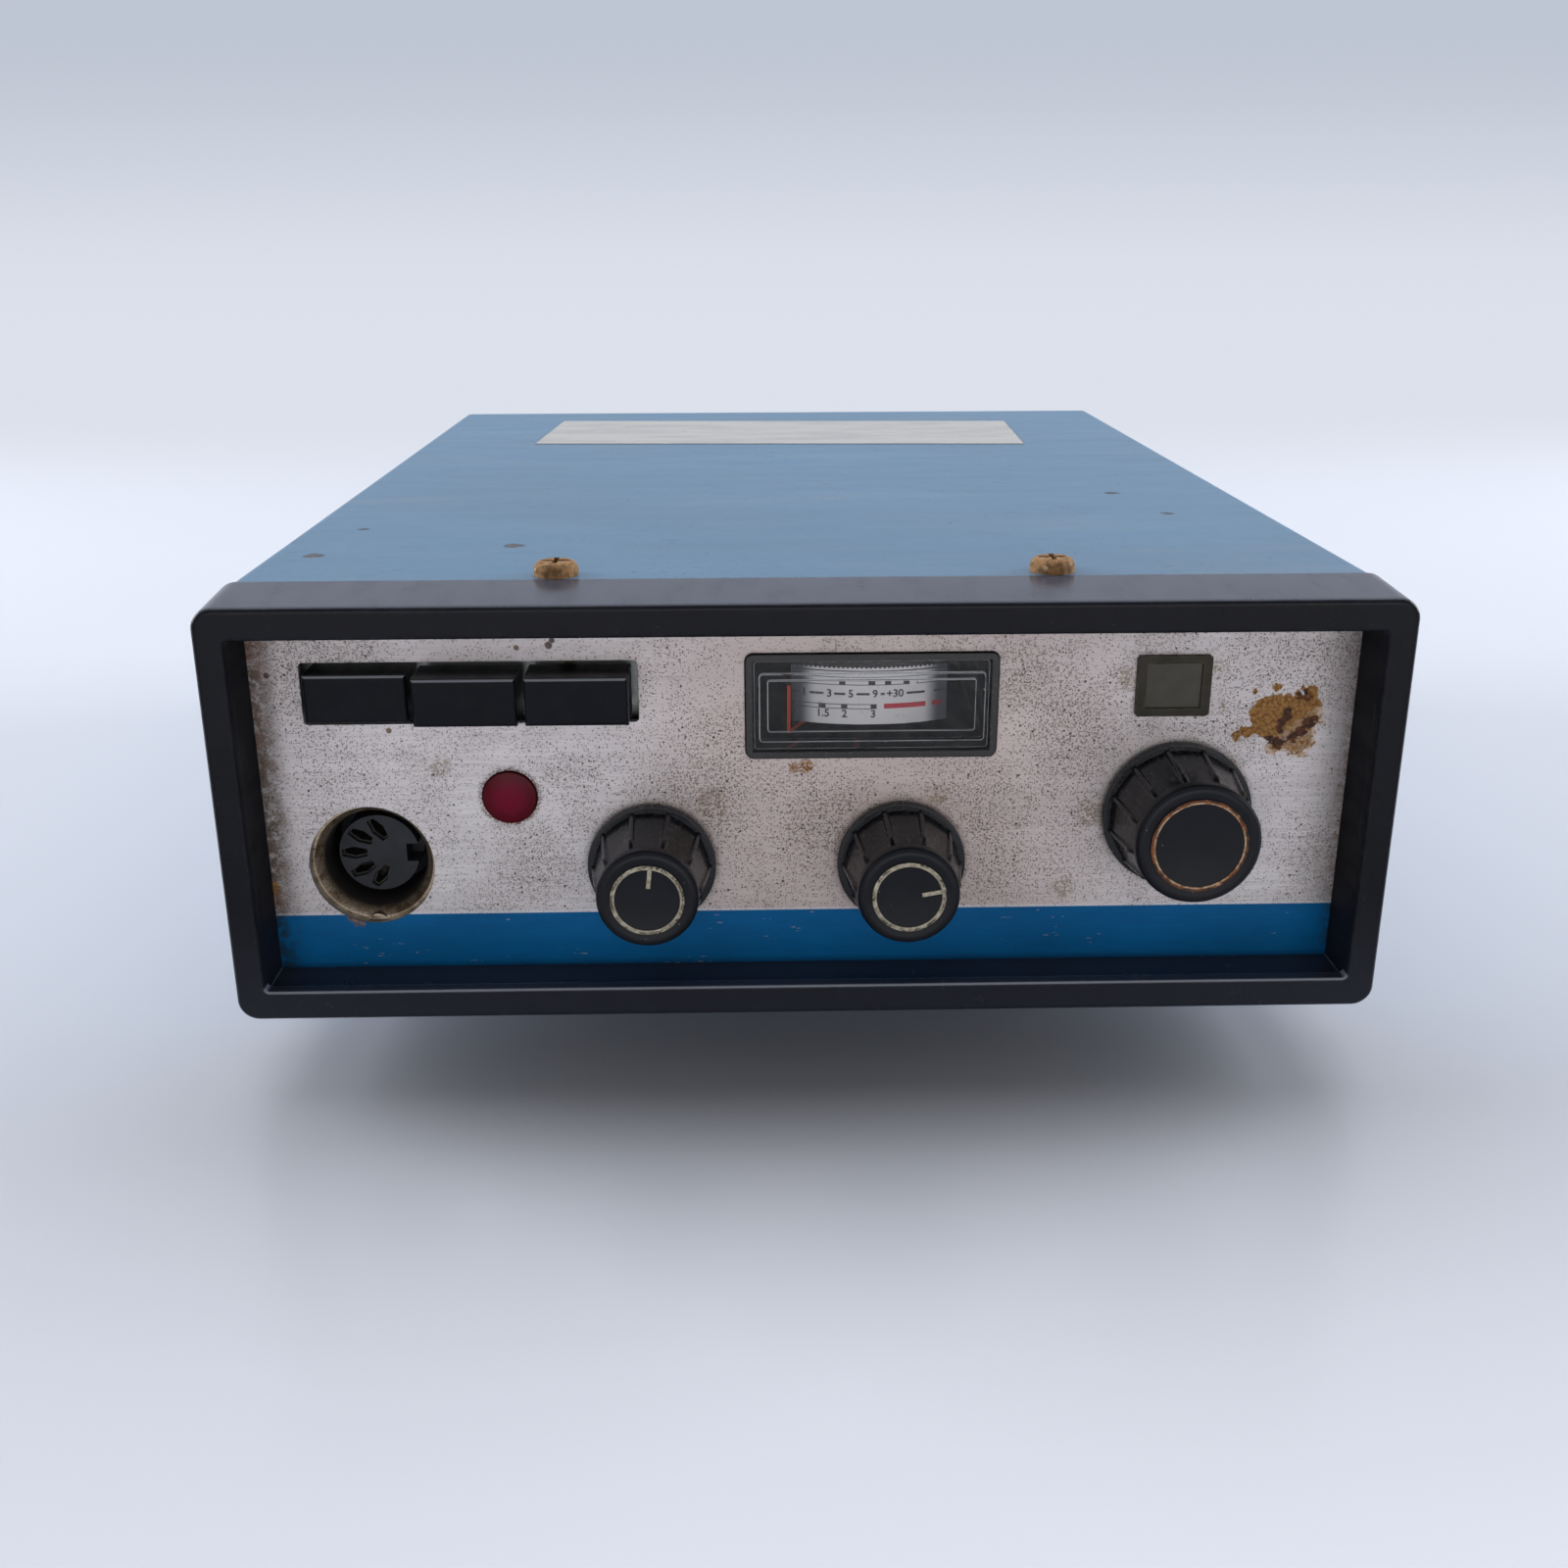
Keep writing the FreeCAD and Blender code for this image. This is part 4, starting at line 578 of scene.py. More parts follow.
@dataclass(frozen=True)
class SocketMetal:
    """Rolled socket mouth: tarnished beige brass at its lip, brown tarnish, and painted shade that goes
    black down the throat.
    """

    name: str
    front: float

    def make(self) -> Material:
        """Builds the material.

        Returns:
            The material.
        """
        graph = Graph(self.name)
        # painted shade: the colour goes black further down the throat
        throat_shade = (graph.axis(1) + graph.ragged(1.6, 0.2)).rising(self.front + 0.9, self.front + 2.5)
        grains = graph.noise(0.4, 4.0, 3.0)
        clouds = graph.noise(2.4, 5.0, 6.0).rising(0.46, 0.62)
        pits = (graph.noise(0.35, 3.0, 9.0) + clouds * 0.1).rising(0.66, 0.72)
        colour = graph.layers(
            rgb(186, 172, 150),
            (grains.rising(0.3, 0.7), rgb(146, 124, 96)),
            (clouds * 0.7, rgb(104, 82, 54)),
            (pits * 0.8, rgb(52, 38, 26)),
            (throat_shade, rgb(24, 18, 14)),
            (graph.edges(0.3) * (1.0 - throat_shade) * 0.5, rgb(214, 206, 190)))
        return graph.done(graph.plastic(
            Base_Color=colour, Metallic=0.8 - throat_shade * 0.7 - pits * 0.1,
            Roughness=0.36 + throat_shade * 0.3 + pits * 0.2,
            Normal=graph.bumped(grains + clouds * 0.5, 0.01, 0.12)))


@dataclass(frozen=True)
class BrushedPanel:
    """Brushed aluminium front: blue printed band, fine specks, grime along its rim, a rust stain."""

    name: str
    low: Sequence[float]
    high: Sequence[float]
    lens: Spot
    knobs: Tuple[Spot, ...]
    band_top: float = 23.0
    specked: Tuple[Spot, ...] = (
        (-16.0, 40.0, 8.0), (38.0, 50.0, 7.0), (28.0, 28.5, 5.5), (26.0, 37.0, 5.0), (46.0, 34.0, 4.0),
        (2.0, 36.0, 7.0), (-40.0, 30.0, 6.0), (-70.0, 62.0, 9.0), (76.0, 60.0, 6.0), (77.0, 30.0, 5.0),
        (30.0, 58.0, 6.0))
    yellowed: Tuple[Spot, ...] = (
        (-52.9, 45.7, 1.5), (-77.0, 38.0, 1.5), (58.6, 59.4, 1.1), (59.8, 53.7, 0.7), (62.2, 44.6, 1.0),
        (45.6, 58.0, 1.6), (-14.0, 39.6, 2.2), (38.2, 25.7, 1.6), (41.4, 37.6, 2.0), (19.0, 40.6, 1.6))
    rusted: Tuple[Spot, ...] = (
        (-0.3, 45.3, 1.1), (-1.8, 45.0, 0.7), (-67.4, 22.3, 0.8), (-66.4, 21.6, 0.7), (-78.6, 27.0, 1.0))
    splash: Tuple[Spot, ...] = (
        (68.4, 51.6, 4.0), (71.2, 52.4, 3.2), (66.4, 52.4, 2.8), (71.0, 48.8, 3.0), (72.2, 55.6, 1.2),
        (63.6, 49.9, 0.9), (62.2, 49.2, 0.5), (64.2, 55.6, 0.6), (67.2, 56.2, 0.7), (68.0, 47.6, 1.6))
    blots: Tuple[Spot, ...] = (
        (71.1, 55.3, 0.9), (72.0, 54.7, 0.6), (69.2, 52.4, 0.8), (68.6, 51.2, 0.7), (68.3, 50.0, 0.6),
        (72.3, 50.9, 1.0), (71.4, 49.8, 0.9), (70.4, 48.9, 0.8), (68.2, 48.1, 0.9), (66.8, 48.4, 0.6),
        (73.2, 51.6, 0.6))
    dots: Tuple[Spot, ...] = (
        (-76.2, 59.5, 0.42), (-59.7, 51.2, 0.42), (-40.9, 63.2, 0.4), (-36.4, 63.5, 0.55),
        (-35.9, 64.2, 0.4))

    def metal(self, graph: Graph, brushed: Shade, broad: Shade) -> Shade:
        """The clean brushed metal, a little duller and warmer towards the right, with painted shade
        towards the top.

        Args:
            graph: The material.
            brushed, broad: The fine and the wide grain.

        Returns:
            The colour.
        """
        middle = graph.axis(0).rising(-34.0, -6.0) * graph.axis(0).falling(20.0, 62.0)
        return graph.layers(
            rgb(210, 204, 203),
            (brushed.rising(0.25, 0.75), rgb(226, 220, 220)),
            (broad.rising(0.4, 0.7) * 0.22, rgb(182, 174, 174)),
            (graph.noise(26.0, 4.0, 5.0, x=0.6).rising(0.4, 0.62) * 0.3, rgb(180, 172, 172)),
            (middle * 0.5, rgb(190, 166, 152)),
            # painted shade: darker towards the top, under the frame's top rail
            (graph.axis(2).rising(50.0, 64.0) * 0.35, rgb(164, 156, 156)))

    def grime(self, graph: Graph, colour: Shade, rim: Shade) -> Tuple[Shade, Shade]:
        """Specks, yellowed patches and the brown dirt along the rim.

        Args:
            graph: The material.
            colour: The clean colour.
            rim: Mask near the panel's rim.

        Returns:
            The soiled colour, and the mask of what is no longer bare metal.
        """
        dense = (graph.noise(11.0, 4.0, 9.0).rising(0.38, 0.68) * 0.62
                 | graph.spots(self.specked, 6.0, graph.ragged(6.0, 3.0, 31.0))
                 | graph.spots(self.knobs, 1.6, graph.ragged(3.0, 1.2, 33.0)) * 0.9 | rim * 0.9)
        fine = graph.specks(0.3, dense * 0.95 + 0.3, 0.46)
        middling = graph.specks(0.44, dense * 0.6 + 0.12, 0.38)
        coarse = graph.specks(0.9, dense * 0.3 + 0.03, 0.26)
        smears = (graph.noise(0.36, 3.0, 6.0, x=0.75) + dense * 0.1).rising(0.68, 0.76)
        specks = fine * 0.62 | middling * 0.8 | coarse | smears * 0.75
        tinge = graph.spots(self.yellowed, 0.8, graph.ragged(1.2, 0.8, 41.0))
        tinge = tinge * graph.noise(0.4, 4.0, 43.0).rising(0.4, 0.58)
        halo = graph.distance(self.lens) + graph.ragged(0.7, 0.3, 47.0)
        halo = halo.falling(self.lens[2] + 0.2, self.lens[2] + 0.9)
        halo = halo * graph.noise(0.3, 4.0, 49.0).rising(0.4, 0.6)
        contact = graph.spots(self.knobs, 1.0) * 0.45
        corner = rim * graph.noise(1.8, 6.0, 14.0, 0.68).rising(0.36, 0.56)
        brown = graph.noise(5.0, 3.0, 16.0).rising(0.45, 0.6)
        brown = graph.mixed(brown, rgb(96, 78, 60), rgb(134, 92, 66))
        dots = graph.spots(self.dots, 0.1, graph.ragged(0.5, 0.12, 51.0))
        dirt = graph.noise(2.5, 3.0, 12.0).rising(0.4, 0.6)
        dirt = graph.mixed(dirt, rgb(58, 50, 48), rgb(108, 86, 66))
        colour = graph.layers(
            colour,
            (dense * 0.2, rgb(150, 136, 126)),
            (tinge * 0.55, rgb(126, 106, 66)),
            (halo * 0.8, rgb(96, 58, 44)),
            (contact, rgb(110, 98, 86)),
            (corner * 0.85, brown),
            (specks * 0.82 | dots * 0.92, dirt))
        return colour, specks | corner * 0.8 | halo | contact

    def rust(self, graph: Graph, colour: Shade) -> Tuple[Shade, Shade]:
        """The splashed stain: ochre with tan flakes low on the right and dark brown blots.

        Args:
            graph: The material.
            colour: What is under the rust.

        Returns:
            The rusted colour and the rust's mask.
        """
        fray = graph.ragged(1.5, 1.15, 21.0)
        x, z, _ = self.splash[0]
        flaky = graph.noise(0.55, 3.0, 27.0).rising(0.42, 0.5)
        low_right = ((graph.axis(0) - x) - (graph.axis(2) - z) * 1.3 + fray).rising(2.2, 4.2)
        rim = graph.spots([(*place, radius - 0.7) for *place, radius in self.splash], 0.3, fray)
        tan = (1.0 - rim * 0.75) & low_right
        blots = graph.spots(self.blots, 0.12, graph.ragged(0.8, 0.75, 24.0))
        brown = graph.noise(0.6, 3.0, 25.0).rising(0.42, 0.6)
        brown = graph.mixed(brown, rgb(58, 30, 14), rgb(104, 56, 20))
        ochre = graph.layers(
            rgb(178, 130, 68),
            (graph.noise(0.5, 5.0, 22.0).rising(0.4, 0.62), rgb(128, 84, 32)),
            (tan * flaky, rgb(226, 200, 176)),
            (blots, brown))
        holes = 1.0 - tan * graph.noise(0.45, 3.0, 29.0).rising(0.56, 0.6)
        splash = graph.spots(self.splash, 0.14, fray) * (holes | blots)
        spots = graph.spots(self.rusted, 0.3, graph.ragged(0.8, 0.7, 35.0))
        rust = splash | spots * graph.noise(0.3, 3.0, 37.0).rising(0.36, 0.52)
        return graph.mixed(rust * 0.96, colour, ochre), rust

    def make(self) -> Material:
        """Builds the material.

        Returns:
            The material.
        """
        graph = Graph(self.name)
        across, up = graph.axis(0), graph.axis(2)
        face = graph.axis(1).falling(self.low[1] + 0.05, self.low[1] + 0.12)
        brushed = graph.noise(0.2, 2.0, x=Along.X.value)
        broad = graph.noise(0.9, 3.0, 2.0, x=Along.X.value)
        sway = graph.ragged(4.0, 1.2, 11.0)
        left = (across - self.low[0] + sway).falling(2.0, 6.4)
        right = (self.high[0] - across + sway).falling(0.6, 4.4)
        top = (self.high[2] - up + sway).falling(0.2, 2.6) * across.falling(-60.0, -20.0)
        rim = left | right | top * 0.7 | (up - self.low[2] + sway).falling(0.3, 2.0)
        soiled, covered = self.grime(graph, self.metal(graph, brushed, broad), rim)
        line = up.rising(self.band_top - 0.4, self.band_top - 0.3)
        line = line * up.falling(self.band_top, self.band_top + 0.08)
        band = up.falling(self.band_top - 0.4, self.band_top - 0.3)
        corner = ((left | right) * 0.8 * graph.noise(2.0, 4.0, 53.0).rising(0.36, 0.6)
                  | graph.noise(0.3, 3.0, 55.0).rising(0.68, 0.72) * 0.7)
        hair = graph.noise(0.4, 2.0, 57.0, x=0.16).rising(0.70, 0.72)
        hair = hair * graph.noise(9.0, 2.0, 59.0).rising(0.5, 0.58)
        rubbed = (up - self.low[2] + graph.ragged(1.2, 0.2, 61.0)).falling(0.12, 0.3)
        rubbed = rubbed * graph.noise(1.5, 4.0, 17.0).rising(0.44, 0.52)
        blue = graph.layers(
            rgb(0, 112, 176),
            (graph.noise(7.0, 5.0, 3.0, x=0.4).rising(0.3, 0.75), rgb(0, 98, 156)),
            (brushed.rising(0.3, 0.8) * 0.2, rgb(0, 76, 124)),
            # the band goes nearly black towards its bottom edge
            (up.falling(self.low[2] + 0.2, self.low[2] + 2.6) * 0.85, rgb(8, 18, 28)),
            (corner, rgb(40, 52, 50)),
            (hair * 0.7 | rubbed, rgb(176, 172, 160)))
        printed = graph.layers(soiled, (line * 0.4, rgb(224, 228, 234)), (band, blue))
        stained, rust = self.rust(graph, printed)
        side = graph.mixed(brushed, rgb(150, 150, 152), rgb(178, 178, 180))
        cover = (band | rust | covered) * face
        height = brushed * 0.6 + broad * 0.3 + covered * 0.6 + rust * graph.noise(0.5, 5.0) * 3.0
        roughness = graph.noise(4.0, 3.0, x=Along.X.value) * 0.14 + 0.38 + cover * 0.16 - band * 0.16
        return graph.done(graph.plastic(
            Base_Color=graph.mixed(face, side, stained), Metallic=0.55 * (1.0 - cover),
            Roughness=roughness, Specular_IOR_Level=0.14, Normal=graph.bumped(height, 0.005, 0.1)))


@dataclass(frozen=True)
class Paper:
    """A stuck-on paper label, cream gone grey, with fibres and a little lift in its surface."""

    name: str
    colour: Colour = rgb(178, 178, 177)

    def make(self) -> Material:
        """Builds the material.

        Returns:
            The material.
        """
        graph = Graph(self.name)
        grey = graph.noise(9.0, 6.0, x=0.35).rising(0.42, 0.66)
        fibres = graph.noise(0.4, 3.0, 2.0, y=0.3)
        colour = graph.layers(
            self.colour,
            (grey * 0.5, rgb(154, 155, 160)),
            (graph.noise(2.2, 4.0, 4.0).rising(0.66, 0.72) * 0.5, rgb(140, 128, 108)),
            (fibres.rising(0.55, 0.75) * 0.3, rgb(204, 203, 200)),
            (graph.edges(0.4) * 0.6, rgb(150, 136, 104)))
        height = fibres * 0.4 + graph.noise(14.0, 3.0, 6.0) * 3.0
        return graph.done(graph.plastic(Base_Color=colour, Roughness=grey * 0.25 + 0.6,
                                        Normal=graph.bumped(height, 0.02)))


@dataclass(frozen=True)
class Clear:
    """Clear moulding that light goes through, with a black rim round it and bright edges inside."""

    name: str
    low: np.ndarray
    high: np.ndarray
    tint: Colour = rgb(244, 244, 242)
    border: float = 1.0
    haze: float = 0.03
    edge: float = 0.25

    def make(self) -> Material:
        """Builds the material.

        The rim is where max(|X - middle| - half width, |Z - middle| - half height) > -border. Shadow
        rays pass straight through the clear part, so what is behind it is lit.

        Returns:
            The material.
        """
        graph = Graph(self.name)
        scratches = graph.noise(0.8, 3.0, x=0.15).rising(0.64, 0.7)
        dust = graph.noise(1.1, 5.0, 5.0).rising(0.62, 0.72)
        clear = graph.plastic(
            Base_Color=graph.mixed(dust * 0.25, self.tint, rgb(150, 146, 140)),
            Roughness=scratches * 0.15 + self.haze + dust * 0.2, IOR=1.25, Transmission_Weight=1.0,
            Normal=graph.bumped(scratches, 0.003, self.edge))
        through = graph.node("BsdfTransparent", {"Color": self.tint})
        window = graph.blended(graph.rays("Is Shadow Ray", "Is Diffuse Ray"), clear, through)
        middle, half = 0.5 * (self.high + self.low), 0.5 * (self.high - self.low)
        across, up = ((graph.axis(index) - float(middle[index])).size() - float(half[index])
                      for index in Plane.FRONT.value)
        outwards = across | up
        glints = graph.edges(0.2).rising(0.25, 0.75) * outwards.falling(-self.border - 0.3, -self.border)
        glints = glints * graph.noise(5.0, 2.0, 7.0).rising(0.2, 0.34)
        bright = graph.plastic(Base_Color=rgb(236, 240, 246), Roughness=0.3)
        rim = (outwards + graph.ragged(0.4, 0.06, 3.0)).rising(-self.border - 0.12, -self.border + 0.12)
        dirt = graph.noise(0.5, 4.0, 9.0).rising(0.56, 0.7) * 0.5
        gasket = graph.plastic(Base_Color=graph.mixed(dirt, rgb(17, 15, 16), rgb(74, 64, 56)),
                               Roughness=0.4, Normal=graph.rounded(self.edge))
        return graph.done(graph.blended(rim, graph.blended(glints * 0.9, window, bright), gasket))


@dataclass(frozen=True)
class ScaleSheet:
    """The meter's curved scale: silvered sheet with painted shade at its ends, and a black toothed top
    edge.
    """

    name: str
    middle: float
    teeth_from: float
    tooth: float = 0.66
    tooth_height: float = 0.3
    lit_half: float = 7.6

    def make(self) -> Material:
        """Builds the material.

        The black starts where height > teeth_from + tooth_height x triangle wave of X.

        Returns:
            The material.
        """
        graph = Graph(self.name)
        wave = graph.maths(Maths.TRIANGLE, graph.axis(0), 0.5 * self.tooth) * (2.0 / self.tooth)
        black = graph.axis(2) - wave * self.tooth_height
        black = black.rising(self.teeth_from - 0.03, self.teeth_from + 0.03)
        # painted shade: the sheet darkens towards both ends, beyond lit_half from the middle
        ends = (graph.axis(0) - self.middle).size().rising(self.lit_half, self.lit_half + 2.6)
        colour = graph.layers(
            rgb(206, 204, 210),
            (graph.noise(5.0, 4.0, x=0.3), rgb(232, 230, 234)),
            (graph.noise(0.35, 2.0, 3.0).rising(0.70, 0.75) * 0.6, rgb(96, 88, 90)),
            (ends * 0.94, rgb(52, 58, 72)),
            (black, rgb(16, 15, 17)))
        return graph.done(graph.plastic(Base_Color=colour, Metallic=0.3 - black * 0.3, Roughness=0.45,
                                        Normal=graph.bumped(graph.noise(0.5, 2.0), 0.003)))


@dataclass(frozen=True)
class Ink:
    """Printed ink: one strong colour, thin in places, slightly rough, with painted shade at the scale's
    ends.
    """

    name: str
    colour: Colour
    middle: float = 0.0
    lit_half: float = FAR

    def make(self) -> Material:
        """Builds the material.

        Returns:
            The material.
        """
        graph = Graph(self.name)
        thin = graph.noise(0.5, 4.0).rising(0.55, 0.75)
        # painted shade: the ink darkens towards the scale's ends
        ends = (graph.axis(0) - self.middle).size().rising(self.lit_half, self.lit_half + 2.2)
        colour = graph.layers(self.colour, (thin * 0.35, faded(self.colour, 0.7, 0.12)),
                              (ends * 0.7, rgb(44, 30, 44)))
        return graph.done(graph.plastic(Base_Color=colour, Roughness=thin * 0.15 + 0.45))


@dataclass(frozen=True)
class Lens:
    """Deep red lamp lens: satin, a little see-through, scratched, darker towards its rim."""

    name: str
    centre: Sequence[float]
    radius: float = 3.9

    def make(self) -> Material:
        """Builds the material.

        Returns:
            The material.
        """
        graph = Graph(self.name)
        middle = graph.distance(self.centre).falling(0.3 * self.radius, 1.05 * self.radius)
        dust = graph.noise(0.6, 4.0).rising(0.62, 0.74)
        colour = graph.layers(rgb(84, 2, 16), (middle, rgb(122, 4, 42)), (dust * 0.12, rgb(150, 84, 92)))
        return graph.done(graph.plastic(
            Base_Color=colour, Roughness=dust * 0.2 + 0.3, Specular_IOR_Level=0.12,
            Subsurface_Weight=0.1, Subsurface_Scale=0.002, Subsurface_Radius=(1.0, 0.15, 0.1),
            Normal=graph.bumped(graph.noise(1.8, 3.0), 0.006, 0.3)))


@dataclass(frozen=True)
class Laminate:
    """Circuit board: green-brown lacquer over tracks, with tinned pads."""

    name: str

    def make(self) -> Material:
        """Builds the material.

        Returns:
            The material.
        """
        graph = Graph(self.name)
        tracks = graph.noise(3.0, 1.0, x=0.2).rising(0.5, 0.52)
        pads = graph.cells(3.4).falling(0.12, 0.16)
        colour = graph.layers(rgb(112, 96, 46), (tracks, rgb(86, 92, 40)), (pads, rgb(170, 168, 160)))
        return graph.done(graph.plastic(
            Base_Color=colour, Metallic=pads * 0.8, Roughness=0.4 + tracks * 0.1,
            Normal=graph.bumped(tracks + pads, 0.02)))


class Surface:
    """Makes meshes from whole arrays of points and hangs them on the frame."""

    @staticmethod
    def mesh(name: str, points: np.ndarray, faces: Sequence[Sequence[int]],
             smooth: bool = True) -> Piece:
        """Puts points and faces into a new object that stands at the origin.

        Args:
            name: The piece's name.
            points: One row of x, y, z for each point, in millimetres.
            faces: The corners of each face, by row number.
            smooth: Whether the faces are shaded smooth, apart from sharp edges.

        Returns:
            The object.
        """
        mesh = bpy.data.meshes.new(name)
        mesh.from_pydata((points * MM).tolist(), [], [list(map(int, face)) for face in faces])
        mesh.validate()
        if smooth:
            mesh.polygons.foreach_set("use_smooth", np.ones(len(mesh.polygons), dtype=bool))
            mesh.set_sharp_from_angle(angle=SHARP_EDGE)
        mesh.update()
        return Surface.linked(name, mesh)

    @staticmethod
    def linked(name: str, data: Any) -> Piece:
        """Puts a mesh, curve, lamp or camera into the scene.

        Args:
            name: The object's name.
            data: What it shows.

        Returns:
            The object.
        """
        made = bpy.data.objects.new(name, data)
        bpy.context.scene.collection.objects.link(made)
        return made

    @staticmethod
    def joined(name: str, parts: Sequence[Tuple[np.ndarray, List[List[int]]]]) -> Piece:
        """Makes one flat-shaded piece of several sets of points and faces.

        Args:
            name: The piece's name.
            parts: The points and the faces of each part.

        Returns:
            The object.
        """
        faces, count = [], 0
        for points, corners in parts:
            faces += [[corner + count for corner in face] for face in corners]
            count += len(points)
        return Surface.mesh(name, np.vstack([points for points, _ in parts]), faces, False)

    @staticmethod
    def tube(grid: np.ndarray, turned_over: bool = False) -> Tuple[np.ndarray, List[List[int]]]:
        """Closes a grid of rows, each of which runs round, with a point at each end.

        Row i, column j is joined to row i + 1 and column j + 1, the last column to the first, and
        the first and last rows each to the mean of their own points.

        Args:
            grid: Array of rows x columns x 3.
            turned_over: Reverses every face.

        Returns:
            The points and the faces.
        """
        rows, columns = grid.shape[:2]
        points = np.vstack([grid.reshape(-1, 3), grid[0].mean(0), grid[-1].mean(0)])
        ring = np.arange(columns)
        after = (ring + 1) % columns
        start = np.arange(rows - 1)[:, None] * columns
        quads = np.stack([start + ring, start + after,
                          start + columns + after, start + columns + ring], -1)
        end, last_row = np.full(columns, rows * columns), (rows - 1) * columns
        first = np.stack([end, after, ring], -1)
        last = np.stack([end + 1, last_row + ring, last_row + after], -1)
        faces = [list(face) for part in (quads.reshape(-1, 4), first, last) for face in part]
        return points, [face[::-1] for face in faces] if turned_over else faces

    @staticmethod
    def hang(piece: Piece, body: Body, slot: str, material: Material) -> None:
        """Dresses a new piece and hangs it on its body.

        Args:
            piece: The finished object.
            body: What it moves with.
            slot: Not used.
            material: Its finish.
        """
        piece.data.materials.append(material)
        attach(piece, body.value)
        LOG.info("%s rides on %s with %d faces", piece.name, body.value, len(piece.data.polygons))

    @staticmethod
    def box(node: str) -> Tuple[np.ndarray, np.ndarray]:
        """A node's lowest and highest corners, in millimetres."""
        low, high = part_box(node)
        return np.array(low) / MM, np.array(high) / MM

    @staticmethod
    def middle(node: str) -> Tuple[float, float]:
        """The middle of a node, seen from the front, in millimetres."""
        low, high = Surface.box(node)
        return tuple(float(0.5 * (low[index] + high[index])) for index in Plane.FRONT.value)


